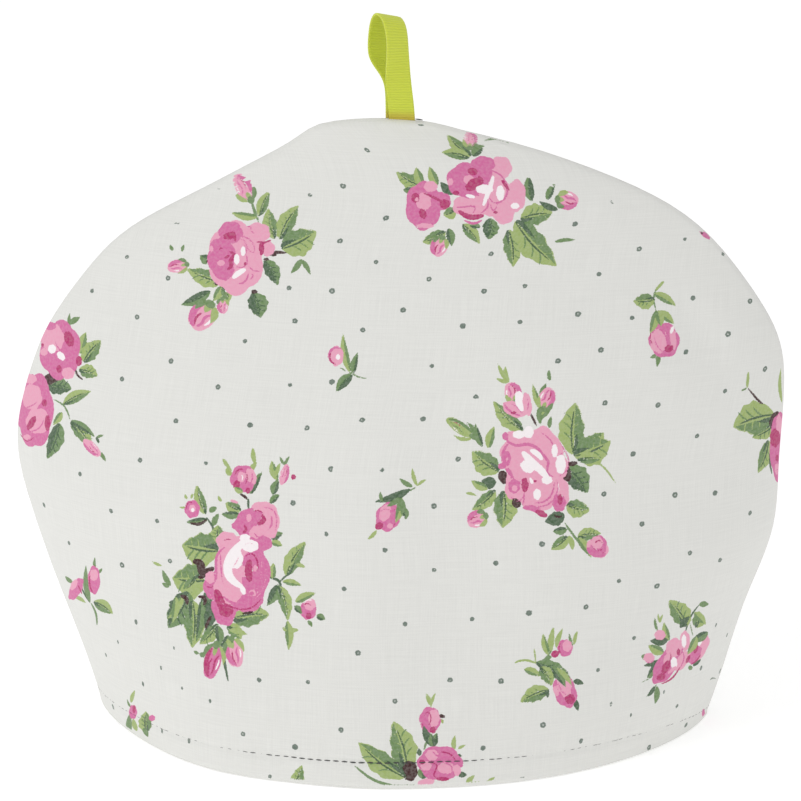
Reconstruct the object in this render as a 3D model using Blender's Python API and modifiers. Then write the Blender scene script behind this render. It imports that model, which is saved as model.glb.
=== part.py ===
# Tea cosy: two padded cotton panels sewn together along an arched seam, open below,
# standing on its hem, with a ribbon loop sewn into the top of the seam.
# Metres, +Z up. The origin is on the surface that the hem stands on, under the crown.
# The front panel faces -Y, and the seam lies in the plane y = 0.
import math

import bmesh
import bpy
import numpy as np
from mathutils import Matrix, Vector

WALL = 0.0045
SEAM_GAP = 0.0003
CROWN_HEIGHT = 0.2390
CROWN_SIDE = -0.004

# The cosy is round at the hem, widest halfway up, and flat along the arched seam.
# "lean" is where a section's middle lies, and "depth" how far its front stands forward.
# "edge" shapes the section's ends: 0.5 turns them like an ellipse, and 1 meets at a crease.
SECTION_COLUMNS = ("height", "lean", "half_width", "depth", "edge")
SECTIONS = (
    (-0.012, 0.0019, 0.1172, 0.1036, 0.56),
    (0.000, 0.0021, 0.1210, 0.1012, 0.56),
    (0.020, 0.0023, 0.1282, 0.0964, 0.56),
    (0.050, 0.0011, 0.1386, 0.0868, 0.58),
    (0.080, 0.0009, 0.1478, 0.0768, 0.60),
    (0.105, -0.0009, 0.1518, 0.0685, 0.63),
    (0.130, 0.0021, 0.1500, 0.0600, 0.66),
    (0.155, 0.0055, 0.1434, 0.0500, 0.70),
    (0.175, 0.0073, 0.1312, 0.0410, 0.74),
    (0.195, 0.0097, 0.1126, 0.0305, 0.78),
    (0.210, 0.0117, 0.0884, 0.0220, 0.80),
    (0.222, 0.0083, 0.0632, 0.0148, 0.80),
    (0.231, 0.0025, 0.0412, 0.0082, 0.80),
    (CROWN_HEIGHT, CROWN_SIDE, 0.0000, 0.0000, 0.80),
)

# The soft folds that show on the front: where each lies, the way it runs from level,
# its length and breadth, and how far it stands out, or sinks in where that is negative.
FOLD_COLUMNS = ("side", "height", "angle", "length", "breadth", "rise")
FRONT_FOLDS = (
    (-0.004, 0.085, 91.0, 0.1500, 0.022, 0.0030),
    (0.030, 0.055, 84.0, 0.0900, 0.030, -0.0030),
    (-0.070, 0.110, 40.0, 0.1100, 0.026, 0.0028),
    (-0.098, 0.168, 57.0, 0.0500, 0.014, -0.0026),
    (-0.080, 0.195, 32.0, 0.0450, 0.011, -0.0020),
    (0.118, 0.160, -58.0, 0.0360, 0.009, -0.0022),
    (0.064, 0.150, -20.0, 0.0700, 0.024, 0.0022),
)
BACK_FOLDS = (
    (0.006, 0.090, 90.0, 0.1500, 0.026, 0.0028),
    (-0.060, 0.070, 78.0, 0.0900, 0.024, -0.0026),
    (0.084, 0.120, -42.0, 0.1000, 0.026, 0.0026),
    (-0.102, 0.160, 60.0, 0.0460, 0.013, -0.0022),
)

PANEL_COLUMNS = 34
PANEL_ROWS = 24
CUTTER_REACH = 0.4

# The ribbon's route, from its front end at the seam, over the top, to its back end.
# "turn" is how far its width has turned from the seam's line, and "dip" how far the
# right-hand edge of its width hangs down.
RIBBON_WIDTH = 0.0100
RIBBON_WALL = 0.0010
RIBBON_STEPS = 44
RIBBON_WIDTH_STEPS = 2
RIBBON_COLUMNS = ("side", "behind", "height", "turn", "dip")
RIBBON_ROUTE = (
    (0.0021, -0.0011, 0.2389, 0.0, 0.0),
    (0.0015, -0.0018, 0.2450, 6.0, 1.0),
    (0.0005, -0.0042, 0.2550, 20.0, 2.0),
    (0.0003, -0.0060, 0.2660, 32.0, 4.0),
    (-0.0005, -0.0044, 0.2748, 35.0, 10.0),
    (-0.0033, 0.0006, 0.2782, 35.0, 13.0),
    (-0.0063, 0.0056, 0.2748, 35.0, 10.0),
    (-0.0071, 0.0070, 0.2665, 30.0, 4.0),
    (-0.0031, 0.0054, 0.2560, 18.0, 2.0),
    (-0.0001, 0.0026, 0.2480, 6.0, 1.0),
    (0.0005, 0.0011, 0.2389, 0.0, 0.0),
)


def new_collection(name):
    collection = bpy.data.collections.new(name)
    bpy.context.scene.collection.children.link(collection)
    return collection


def make_material(name, colour, roughness):
    material = bpy.data.materials.new(name)
    material.use_nodes = True
    shader = material.node_tree.nodes["Principled BSDF"]
    shader.inputs["Base Color"].default_value = (*colour, 1.0)
    shader.inputs["Roughness"].default_value = roughness
    shader.inputs["Metallic"].default_value = 0.0
    return material


def columns_of(rows, names):
    return {name: np.array([row[i] for row in rows]) for i, name in enumerate(names)}


def smooth_curve(at, places, values):
    # A cubic through every value, whose slopes are those of the neighbours on each side.
    slopes = np.gradient(values, places)
    i = int(np.clip(np.searchsorted(places, at) - 1, 0, len(places) - 2))
    step = places[i + 1] - places[i]
    t = (at - places[i]) / step
    start, end = values[i], values[i + 1]
    bend_in = (t**3 - 2 * t**2 + t) * step * slopes[i]
    bend_out = (t**3 - t**2) * step * slopes[i + 1]
    return (2 * t**3 - 3 * t**2 + 1) * start + (3 * t**2 - 2 * t**3) * end + bend_in + bend_out


def section_at(height):
    table = columns_of(SECTIONS, SECTION_COLUMNS)
    heights = table["height"]
    found = {
        name: smooth_curve(height, heights, table[name]) for name in ("lean", "depth", "edge")
    }
    # The squared half-width falls evenly to nothing, which closes the crown in a round arch.
    squared = smooth_curve(height, heights, table["half_width"] ** 2)
    found["half_width"] = math.sqrt(max(squared, 0.0))
    return found


def fold_rise(folds, side, height):
    # Each fold is a soft mound along its own line that fades out at its ends and edges.
    rise = 0.0
    for row in folds:
        fold = dict(zip(FOLD_COLUMNS, row))
        angle = math.radians(fold["angle"])
        across_x = side - fold["side"]
        across_z = height - fold["height"]
        along = across_x * math.cos(angle) + across_z * math.sin(angle)
        aside = across_z * math.cos(angle) - across_x * math.sin(angle)
        away = (2 * along / fold["length"]) ** 2 + (aside / fold["breadth"]) ** 2
        rise += fold["rise"] * math.exp(-away)
    return rise


def panel_point(across, up, facing, folds):
    # "across" runs from the left seam at -1 to the right one at 1, and "up" from under
    # the hem at 0 to the crown at 1. "facing" is -1 for the front panel and 1 for the back.
    lowest = SECTIONS[0][0]
    height = lowest + (CROWN_HEIGHT - lowest) * math.sin(up * math.pi / 2)
    section = section_at(height)
    angle = across * math.pi / 2
    side = section["lean"] + section["half_width"] * math.sin(angle)
    fullness = max(math.cos(angle), 0.0)
    out = section["depth"] * fullness ** (2 * section["edge"])
    out += fold_rise(folds, side, height) * min(1.0, 3 * fullness) * min(1.0, out / 0.02)
    return Vector((side, facing * out, height))


def make_trim_box(name, low, high, collection):
    # A plain block that keeps what lies inside it, so it isn't part of the cosy.
    mesh = bpy.data.meshes.new(name)
    bm = bmesh.new()
    size = Vector(high) - Vector(low)
    bmesh.ops.create_cube(bm, size=1.0, matrix=Matrix.Diagonal((*size, 1.0)))
    bmesh.ops.translate(bm, verts=bm.verts, vec=(Vector(low) + Vector(high)) / 2)
    bm.to_mesh(mesh)
    bm.free()
    box = bpy.data.objects.new(name, mesh)
    box.hide_render = True
    box.display_type = "WIRE"
    collection.objects.link(box)
    return box


def make_panel(name, facing, folds, material, collection, cutters):
    bm = bmesh.new()
    bmesh.ops.create_grid(bm, x_segments=PANEL_COLUMNS, y_segments=PANEL_ROWS, size=1.0)
    for vertex in bm.verts:
        vertex.co = panel_point(vertex.co.x, (vertex.co.y + 1) / 2, facing, folds)
    bmesh.ops.remove_doubles(bm, verts=bm.verts, dist=1e-5)
    if facing > 0:
        bmesh.ops.reverse_faces(bm, faces=bm.faces)
    mesh = bpy.data.meshes.new(name)
    bm.to_mesh(mesh)
    bm.free()
    mesh.shade_smooth()
    mesh.materials.append(material)
    panel = bpy.data.objects.new(name, mesh)
    collection.objects.link(panel)

    padding = panel.modifiers.new("padding", "SOLIDIFY")
    padding.thickness = WALL
    padding.offset = -1.0

    seam, reach = facing * SEAM_GAP / 2, facing * CUTTER_REACH
    low = (-CUTTER_REACH, min(seam, reach), 0.0)
    high = (CUTTER_REACH, max(seam, reach), CUTTER_REACH)
    trim = panel.modifiers.new("cut_at_seam_and_hem", "BOOLEAN")
    trim.operation = "INTERSECT"
    trim.object = make_trim_box(f"{name}_trim", low, high, cutters)
    return panel


def ribbon_frame(share):
    # The place of the ribbon's middle line and the direction of its width.
    route = columns_of(RIBBON_ROUTE, RIBBON_COLUMNS)
    stops = np.linspace(0.0, 1.0, len(RIBBON_ROUTE))
    value = {name: smooth_curve(share, stops, route[name]) for name in RIBBON_COLUMNS}
    turn, dip = math.radians(value["turn"]), math.radians(value["dip"])
    middle = Vector((value["side"], value["behind"], value["height"]))
    width = Vector((math.cos(turn) * math.cos(dip), math.sin(turn) * math.cos(dip), -math.sin(dip)))
    return middle, width


def make_hanging_loop(material, collection):
    bm = bmesh.new()
    bmesh.ops.create_grid(bm, x_segments=RIBBON_WIDTH_STEPS, y_segments=RIBBON_STEPS, size=1.0)
    for vertex in bm.verts:
        middle, width = ribbon_frame((vertex.co.y + 1) / 2)
        vertex.co = middle + width * (vertex.co.x * RIBBON_WIDTH / 2)
    mesh = bpy.data.meshes.new("hanging_loop")
    bm.to_mesh(mesh)
    bm.free()
    mesh.shade_smooth()
    mesh.materials.append(material)
    loop = bpy.data.objects.new("hanging_loop", mesh)
    collection.objects.link(loop)
    wall = loop.modifiers.new("ribbon_wall", "SOLIDIFY")
    wall.thickness = RIBBON_WALL
    wall.offset = 0.0
    return loop


def main():
    for old in list(bpy.data.objects):
        bpy.data.objects.remove(old, do_unlink=True)
    cosy = new_collection("tea_cosy")
    cutters = new_collection("cutters")
    cotton = make_material("printed_cotton", (0.80, 0.80, 0.77), 0.85)
    ribbon = make_material("ribbon", (0.52, 0.57, 0.06), 0.6)
    make_panel("front_panel", -1, FRONT_FOLDS, cotton, cosy, cutters)
    make_panel("back_panel", 1, BACK_FOLDS, cotton, cosy, cutters)
    make_hanging_loop(ribbon, cosy)


main()
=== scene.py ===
import math

import bmesh
import bpy
import numpy as np
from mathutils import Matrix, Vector, kdtree


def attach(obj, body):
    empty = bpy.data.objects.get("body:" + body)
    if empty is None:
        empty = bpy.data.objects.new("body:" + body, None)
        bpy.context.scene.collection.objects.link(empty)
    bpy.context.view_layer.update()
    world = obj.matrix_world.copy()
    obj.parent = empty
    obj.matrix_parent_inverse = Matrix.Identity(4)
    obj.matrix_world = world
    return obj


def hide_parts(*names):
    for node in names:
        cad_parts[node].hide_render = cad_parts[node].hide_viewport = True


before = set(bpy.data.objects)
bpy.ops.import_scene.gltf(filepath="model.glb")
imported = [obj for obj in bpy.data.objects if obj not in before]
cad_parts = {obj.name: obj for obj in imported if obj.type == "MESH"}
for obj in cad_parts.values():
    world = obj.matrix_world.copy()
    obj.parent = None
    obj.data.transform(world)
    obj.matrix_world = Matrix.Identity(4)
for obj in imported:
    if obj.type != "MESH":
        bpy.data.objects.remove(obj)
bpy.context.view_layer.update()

# Tea cosy: printed cotton panels, padded, sewn along an arched seam, on their hem,
# with a ribbon loop in the top of the seam. Metres, +Z up, the front panel faces -Y.

# Camera and light.

cameraSetup = {
    "azimuth": 6.0, "elevation": 15.0, "distance": 1.5,
    "target": (0.0014, 0.0, 0.1253),
    "metresPerPixel": 0.000395,   # at the target
    "imageSide": 801, "sensor": 36.0,
}

lightSetup = {
    "skyStrength": 0.78, "skyColour": (1.0, 1.0, 1.0),
    "keyPlace": (-1.35, -1.10, 1.35), "keySize": 1.2, "keyPower": 8.5,
    "fillPlace": (1.6, -1.2, 0.9), "fillSize": 1.6, "fillPower": 1.5,
    "aim": (0.0, 0.0, 0.11),
    "floorColour": (0.90, 0.90, 0.90), "floorGlow": 0.31, "floorSize": 14.0,
}


def cameraAxes():
    turn = math.radians(cameraSetup["azimuth"])
    lift = math.radians(cameraSetup["elevation"])
    back = np.array([math.sin(turn) * math.cos(lift), -math.cos(turn) * math.cos(lift), math.sin(lift)])
    right = np.array([math.cos(turn), math.sin(turn), 0.0])
    return back, right, np.cross(back, right)


def makeCamera():
    back = cameraAxes()[0]
    focal = cameraSetup["distance"] / cameraSetup["metresPerPixel"]
    data = bpy.data.cameras.new("studioCamera")
    data.sensor_width = cameraSetup["sensor"]
    data.lens = cameraSetup["sensor"] * focal / cameraSetup["imageSide"]
    data.clip_start, data.clip_end = 0.05, 60.0
    camera = bpy.data.objects.new("studioCamera", data)
    bpy.context.scene.collection.objects.link(camera)
    camera.location = Vector(cameraSetup["target"]) + Vector(back) * cameraSetup["distance"]
    camera.rotation_mode = "QUATERNION"
    camera.rotation_quaternion = Vector(-back).to_track_quat("-Z", "Y")
    bpy.context.scene.camera = camera


def photoPixel(points):
    # where points of the frame fall in the picture, in pixels
    back, right, up = cameraAxes()
    focal = cameraSetup["distance"] / cameraSetup["metresPerPixel"]
    centre = cameraSetup["imageSide"] / 2
    away = points - (np.array(cameraSetup["target"]) + back * cameraSetup["distance"])
    reach = -(away @ back)
    return np.stack([centre + focal * (away @ right) / reach, centre - focal * (away @ up) / reach], -1)


def makeLights():
    world = bpy.data.worlds.new("studioSky")
    world.use_nodes = True
    sky = world.node_tree.nodes["Background"]
    sky.inputs["Color"].default_value = (*lightSetup["skyColour"], 1.0)
    sky.inputs["Strength"].default_value = lightSetup["skyStrength"]
    bpy.context.scene.world = world
    for name in ("key", "fill"):
        data = bpy.data.lights.new(name + "Light", "AREA")
        data.energy = lightSetup[name + "Power"]
        data.size = lightSetup[name + "Size"]
        lamp = bpy.data.objects.new(name + "Light", data)
        bpy.context.scene.collection.objects.link(lamp)
        lamp.location = lightSetup[name + "Place"]
        aim = Vector(lightSetup["aim"]) - lamp.location
        lamp.rotation_euler = aim.to_track_quat("-Z", "Y").to_euler()


def makeFloor():
    bm = bmesh.new()
    bmesh.ops.create_grid(bm, x_segments=4, y_segments=4, size=lightSetup["floorSize"])
    mesh = bpy.data.meshes.new("floor")
    bm.to_mesh(mesh)
    bm.free()
    floor = bpy.data.objects.new("floor", mesh)
    bpy.context.scene.collection.objects.link(floor)
    paint = bpy.data.materials.new("paleFloor")
    paint.use_nodes = True
    shader = paint.node_tree.nodes["Principled BSDF"]
    shader.inputs["Base Color"].default_value = (*lightSetup["floorColour"], 1.0)
    shader.inputs["Roughness"].default_value = 0.9
    shader.inputs["Specular IOR Level"].default_value = 0.1
    shader.inputs["Emission Color"].default_value = (1.0, 1.0, 1.0, 1.0)
    shader.inputs["Emission Strength"].default_value = lightSetup["floorGlow"]
    mesh.materials.append(paint)


# The shape of the padded panels.

panelShape = {
    "wall": 0.0045, "seamGap": 0.0003, "crownHeight": 0.2396,
    "wallGrowth": 0.009, "seamWallShare": 0.15,   # the padding is thin where it runs into the seam
    # height, lean, half width, depth, edge: a section's middle, its half width, how far its
    # front stands forward, and how its ends turn (0.5 like an ellipse, 1 to a crease)
    "sections": (
        (-0.012, 0.0019, 0.1190, 0.1036, 0.64), (0.000, 0.0021, 0.1226, 0.1012, 0.63),
        (0.020, 0.0023, 0.1286, 0.0964, 0.59), (0.050, 0.0011, 0.1386, 0.0868, 0.58),
        (0.080, 0.0011, 0.1487, 0.0768, 0.60), (0.105, -0.0006, 0.1521, 0.0685, 0.63),
        (0.130, 0.0021, 0.1508, 0.0600, 0.66), (0.155, 0.0057, 0.1447, 0.0500, 0.70),
        (0.175, 0.0071, 0.1322, 0.0410, 0.74), (0.195, 0.0093, 0.1138, 0.0305, 0.78),
        (0.210, 0.0124, 0.0900, 0.0220, 0.80), (0.222, 0.0090, 0.0646, 0.0148, 0.80),
        (0.231, 0.0018, 0.0420, 0.0082, 0.80), (0.2348, -0.0034, 0.0314, 0.0050, 0.80),
        (0.2376, -0.0050, 0.0222, 0.0025, 0.80), (0.2396, -0.0040, 0.0000, 0.0000, 0.80),
    ),
    "hemTurn": 0.012,       # how deep the hem is turned up inside
    "hemFoot": 0.0023,      # where the hem's fold begins, above the table
    "hemLevel": 0.015,      # up to here the wall's thickness turns level with the table
    "turnLedge": 0.17, "ledgeRun": 0.0015,   # the lining steps back above the turned hem
    "stitchLine": 0.0100, "stitchLineLeft": 0.0066, "stitchLineRight": 0.0042,
    "stitchSink": 0.0007, "sinkBreadth": 0.0013, "hemBulge": 0.0004, "bulgeEdge": 0.0007,
    "hemRipple": 0.00022, "rippleBreadth": 0.0065, "ripplePitch": 0.0123, "rippleDrift": 0.041,
    "seamFill": 0.0022, "seamSink": 0.0012, "sinkReach": 0.0025,
    "seamPucker": 0.0005, "puckerReach": 0.008, "puckerPitch": 0.0115, "puckerDrift": 0.047,
    "puckerHub": 0.09, "puckerRadius": 0.15, "hemRadius": 0.11,
    "columns": 108, "turnRows": 4, "foldRows": 8, "faceRows": 82,
    "hemRun": 0.016, "hemShare": 0.18,   # the rows are closer together along the stitches
}

# side, height, angle, length, breadth, rise: soft folds, with a negative rise for a dent
frontFolds = (
    (-0.004, 0.085, 91.0, 0.1500, 0.022, 0.0030), (0.030, 0.055, 84.0, 0.0900, 0.030, -0.0030),
    (-0.070, 0.110, 40.0, 0.1100, 0.026, 0.0028), (-0.098, 0.168, 57.0, 0.0500, 0.014, -0.0026),
    (-0.080, 0.195, 32.0, 0.0450, 0.011, -0.0020), (0.118, 0.160, -58.0, 0.0360, 0.009, -0.0022),
    (0.064, 0.150, -20.0, 0.0700, 0.024, 0.0022), (-0.066, 0.000, 90.0, 0.1100, 0.033, 0.0048),
)
backFolds = (
    (0.006, 0.090, 90.0, 0.1500, 0.026, 0.0028), (-0.060, 0.070, 78.0, 0.0900, 0.024, -0.0026),
    (0.084, 0.120, -42.0, 0.1000, 0.026, 0.0026), (-0.102, 0.160, 60.0, 0.0460, 0.013, -0.0022),
)


def curveThrough(places, values):
    # the smoothest curve through every value, as a bent spline would lie
    places, values = np.array(places, float), np.array(values, float)
    count, step = len(places), np.diff(places)
    terms, sides = np.eye(count), np.zeros(count)
    for i in range(1, count - 1):
        terms[i, i - 1:i + 2] = step[i - 1], 2 * (step[i - 1] + step[i]), step[i]
        slopeAfter = (values[i + 1] - values[i]) / step[i]
        sides[i] = 6 * (slopeAfter - (values[i] - values[i - 1]) / step[i - 1])
    bend = np.linalg.solve(terms, sides)

    def valueAt(place):
        i = np.clip(np.searchsorted(places, place) - 1, 0, count - 2)
        before, after = (places[i + 1] - place) / step[i], (place - places[i]) / step[i]
        curl = (before**3 - before) * bend[i] + (after**3 - after) * bend[i + 1]
        return before * values[i] + after * values[i + 1] + curl * step[i] ** 2 / 6

    return valueAt


sectionTable = np.array(panelShape["sections"])
leanAt = curveThrough(sectionTable[:, 0], sectionTable[:, 1])
squaredHalfAt = curveThrough(sectionTable[:, 0], sectionTable[:, 2] ** 2)
depthAt = curveThrough(sectionTable[:, 0], sectionTable[:, 3])
edgeAt = curveThrough(sectionTable[:, 0], sectionTable[:, 4])


def foldRise(folds, side, height):
    rise = np.zeros_like(side)
    for foldSide, foldHeight, angle, length, breadth, most in folds:
        turn = math.radians(angle)
        along = (side - foldSide) * math.cos(turn) + (height - foldHeight) * math.sin(turn)
        aside = (height - foldHeight) * math.cos(turn) - (side - foldSide) * math.sin(turn)
        rise += most * np.exp(-((2 * along / length) ** 2) - (aside / breadth) ** 2)
    return rise


def stitchHeight(angle):
    # the hem's stitches lie nearer to the edge at the sides
    sides = np.sin(angle) ** 10
    atSides = np.where(angle < 0, panelShape["stitchLineLeft"], panelShape["stitchLineRight"])
    return panelShape["stitchLine"] * (1 - sides) + sides * atSides


def outerPoint(angle, height, panel):
    # a point of the printed face; the angle runs from -90 degrees at the left seam to 90
    squared = np.maximum(squaredHalfAt(height), 0.0)
    half, lean = np.sqrt(squared), leanAt(height)
    fullness = np.maximum(np.cos(angle), 0.0)
    side = lean + half * np.sin(angle)
    out = np.maximum(depthAt(height), 0.0) * fullness ** (2 * edgeAt(height))
    rise = foldRise(panel["folds"], side, height)
    out = out + rise * np.minimum(1, 3 * fullness) * np.minimum(1, out / 0.02)

    # how far it is from the seam, in the seam's plane and then through the air
    tiny = 0.0005
    crown = panelShape["crownHeight"] - tiny
    lower, upper = np.minimum(height, crown) - tiny, np.minimum(height, crown) + tiny
    steepness = (squaredHalfAt(upper) - squaredHalfAt(lower)) / (2 * tiny)
    pull = np.hypot(2 * half * np.sin(angle), steepness) + 1e-9
    fromSeam = np.hypot(squared * fullness**2 / pull, out)

    # each panel swells beside the seam, and the seam itself is drawn in between them
    fill = panelShape["seamFill"]
    out = out + fill * np.sqrt(fromSeam / fill) * np.exp(-fromSeam / (1.5 * fill))
    sink = panelShape["seamSink"] * np.exp(-((fromSeam / panelShape["sinkReach"]) ** 2))
    side = side - sink * 2 * half * np.sin(angle) / pull
    place = height + sink * steepness / pull * np.minimum(1, height / 0.02)
    round_ = np.arctan2(side, height - panelShape["puckerHub"]) * panelShape["puckerRadius"]
    drift = 2.2 * np.sin(2 * np.pi * round_ / panelShape["puckerDrift"])
    ripple = 0.5 + 0.5 * np.sin(2 * np.pi * round_ / panelShape["puckerPitch"] + drift)
    fade = np.exp(-fromSeam / panelShape["puckerReach"])
    out = out - panelShape["seamPucker"] * ripple * fade * (1 - np.exp(-fromSeam / 0.002))

    # the hem is a little thicker, and its stitches draw it in
    line = stitchHeight(angle)
    aroundHem = angle * panelShape["hemRadius"]
    drift = 1.7 * np.sin(2 * np.pi * aroundHem / panelShape["rippleDrift"])
    hemRipple = np.sin(2 * np.pi * aroundHem / panelShape["ripplePitch"] + drift)
    soft = np.minimum(1, fromSeam / 0.006)
    above = height - line
    sinkShare = np.exp(-((above / panelShape["sinkBreadth"]) ** 2))
    rippleShare = np.exp(-((above / panelShape["rippleBreadth"]) ** 2))
    out = out + soft * panelShape["hemBulge"] / (1 + np.exp(above / panelShape["bulgeEdge"]))
    out = out - soft * panelShape["stitchSink"] * sinkShare
    out = out + soft * panelShape["hemRipple"] * hemRipple * rippleShare
    forward = panel["facing"] * (panelShape["seamGap"] / 2 + np.maximum(out, 0.0))
    return np.stack([side, forward, place], -1), fromSeam


def outwardNormal(angle, height, panel):
    step, rise = 0.012, 0.0012
    low, high = np.maximum(angle - step, -np.pi / 2), np.minimum(angle + step, np.pi / 2)
    below, above = height - rise, np.minimum(height + rise, panelShape["crownHeight"] - 1e-5)
    across = outerPoint(high, height, panel)[0] - outerPoint(low, height, panel)[0]
    upward = outerPoint(angle, above, panel)[0] - outerPoint(angle, below, panel)[0]
    return unitOf(np.cross(across, upward) * -panel["facing"])


def unitOf(vectors):
    return vectors / np.maximum(np.linalg.norm(vectors, axis=-1, keepdims=True), 1e-12)


# lengths along the cloth, measured on the shape above: up its middle, and out from there
heightSteps = np.linspace(panelShape["hemFoot"], panelShape["crownHeight"], 400)
middleSteps = np.hypot(np.diff(heightSteps), np.diff(depthAt(heightSteps)))
runSteps = np.concatenate([[0.0], np.cumsum(middleSteps)])
angleSteps = np.linspace(0.0, np.pi / 2, 121)
squaredSteps = np.maximum(squaredHalfAt(heightSteps), 0.0)[:, None]
sectionSide = np.sqrt(squaredSteps) * np.sin(angleSteps)
sectionTurn = np.cos(angleSteps) ** (2 * edgeAt(heightSteps)[:, None])
sectionOut = np.maximum(depthAt(heightSteps), 0)[:, None] * sectionTurn
acrossSteps = np.cumsum(np.hypot(np.diff(sectionSide, axis=1), np.diff(sectionOut, axis=1)), axis=1)
acrossSteps = np.concatenate([np.zeros((len(heightSteps), 1)), acrossSteps], axis=1)
panelRun = runSteps[-1]
foldLength = math.pi * panelShape["wall"] / 2


def clothPlace(angle, height):
    # where a point lies on the cloth laid flat: out from the middle, and up from the hem
    row = np.interp(height, heightSteps, np.arange(len(heightSteps)))
    column = np.interp(np.abs(angle), angleSteps, np.arange(len(angleSteps)))
    i = np.minimum(row.astype(int), len(heightSteps) - 2)
    j = np.minimum(column.astype(int), len(angleSteps) - 2)
    a, b = row - i, column - j
    across = (1 - a) * ((1 - b) * acrossSteps[i, j] + b * acrossSteps[i, j + 1])
    across += a * ((1 - b) * acrossSteps[i + 1, j] + b * acrossSteps[i + 1, j + 1])
    return np.stack([across * np.sign(angle), np.interp(height, heightSteps, runSteps)], -1)


def wallAt(fromSeam):
    grow = np.clip(fromSeam / panelShape["wallGrowth"], 0, 1)
    thin = panelShape["seamWallShare"]
    return panelShape["wall"] * (thin + (1 - thin) * grow * grow * (3 - 2 * grow))


def shellPoint(angle, run, panel):
    # run is the length along the cloth from the foot of the printed face: up the face where
    # it is positive, and round the fold and up the inside of the hem where it is negative
    foot = panelShape["hemFoot"]
    insideHeight = foot + np.maximum(-run - foldLength, 0.0)
    height = np.where(run >= 0, np.interp(run, runSteps, heightSteps), insideHeight)
    outer, fromSeam = outerPoint(angle, height, panel)
    normal = outwardNormal(angle, height, panel)
    normal[:, 2] *= np.clip((height - foot) / panelShape["hemLevel"], 0, 1)
    inner = outer - unitOf(normal) * wallAt(fromSeam)[:, None]
    point = np.where((run < 0)[:, None], inner, outer)
    inFold = (run < 0) & (run > -foldLength)
    swing = np.clip(-run / foldLength, 0, 1) * np.pi
    turned = (outer + inner) / 2 + (outer - inner) / 2 * np.cos(swing)[:, None]
    turned[:, 2] = foot * (1 - np.abs(np.sin(swing)) ** 0.6)
    point = np.where(inFold[:, None], turned, point)
    return keepBehindSeam(point, panel)


def keepBehindSeam(point, panel):
    point[:, 1] = panel["facing"] * np.maximum(panel["facing"] * point[:, 1], panelShape["seamGap"] / 2)
    return point


def liningPoint(angle, run, panel):
    height = np.interp(run, runSteps, heightSteps)
    outer, fromSeam = outerPoint(angle, height, panel)
    normal = outwardNormal(angle, height, panel)
    normal[:, 2] *= np.clip((height - panelShape["hemFoot"]) / panelShape["hemLevel"], 0, 1)
    past = height - panelShape["hemFoot"] - panelShape["hemTurn"]
    ledge = 1 - panelShape["turnLedge"] * np.clip(past / panelShape["ledgeRun"], 0, 1)
    return keepBehindSeam(outer - unitOf(normal) * (wallAt(fromSeam) * ledge)[:, None], panel)


# The print: its inks, and the shapes that are drawn with them.

inkColours = {
    "lightGreen": (156, 175, 107), "midGreen": (108, 136, 88), "darkGreen": (74, 98, 72),
    "lightPink": (228, 158, 184), "midPink": (207, 106, 157), "magenta": (178, 50, 108),
    "white": (243, 236, 238), "brown": (66, 38, 38), "dotGreen": (104, 118, 108),
}
inkNames = tuple(inkColours)
printDetail = {
    "farInk": -0.003, "margin": 0.0015, "overlap": 0.00018,
    "reaches": (0.0039, 0.0016, 0.00066),   # how near to an ink's edge the cloth's mesh is made finer
    "hidden": 0.00022,                     # an edge that lies this deep under another ink doesn't show
    "soft": 0.11,                          # half the width of an ink's soft edge, in millimetres
    "waver": 0.10,                         # how far an ink's edge wanders, in millimetres
    "outlineStep": 0.0008,
    "dotRadius": (0.00086, 0.00122), "dotFlatness": 0.95, "bareShare": 0.42, "bareChance": 0.7,
}


def leafOutline(x, y, direction, length, width, bend=0.10, full=0.82, sides=(1.0, 1.0)):
    share = np.linspace(0, 1, 19)
    half = width / 2 * np.sin(np.pi * share**full) ** 0.85
    if width > 5:
        half = half * (1 + 0.09 * np.sin(share * 24.0 + 3 * x))
    spine = bend * length * np.sin(np.pi * share) * 0.5
    upSide = np.stack([share * length, spine + sides[0] * half], -1)
    downSide = np.stack([share * length, spine - sides[1] * half], -1)[::-1]
    return turned(np.concatenate([upSide, downSide[1:-1]]), x, y, direction)


def turned(points, x, y, direction):
    angle = math.radians(direction)
    along = np.array([math.cos(angle), math.sin(angle)])
    across = np.array([-math.sin(angle), math.cos(angle)])
    return np.array([x, y]) + points[:, :1] * along + points[:, 1:] * across


def strokeOutline(points, width, taper=0.25):
    # a brush stroke along a smooth line through the points, thin at its ends
    points = np.array(points, float)
    lengths = np.concatenate([[0.0], np.cumsum(np.linalg.norm(np.diff(points, axis=0), axis=1))])
    steps = np.linspace(0, lengths[-1], max(7, int(lengths[-1] / 0.6) + 3))
    if len(points) > 2:
        line = np.stack([curveThrough(lengths, points[:, i])(steps) for i in (0, 1)], -1)
    else:
        line = np.stack([np.interp(steps, lengths, points[:, i]) for i in (0, 1)], -1)
    slope = np.gradient(line, axis=0)
    slope /= np.linalg.norm(slope, axis=1, keepdims=True)
    share = steps / lengths[-1]
    half = width / 2 * (taper + (1 - taper) * np.sqrt(np.sin(np.pi * np.clip(share, 0.0, 1.0))))
    across = np.stack([-slope[:, 1], slope[:, 0]], -1) * half[:, None]
    return np.concatenate([line + across, (line - across)[::-1]])


def blobOutline(x, y, halfWidth, halfHeight, direction=0.0, lobes=0, swell=0.08, phase=0.0):
    angle = np.linspace(0, 2 * np.pi, 36 if lobes else 20, endpoint=False)
    size = 1 + (swell * np.abs(np.sin(angle * lobes / 2 + phase)) - swell / 2 if lobes else 0.0)
    round_ = np.stack([halfWidth * size * np.cos(angle), halfHeight * size * np.sin(angle)], -1)
    return turned(round_, x, y, direction)


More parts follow.
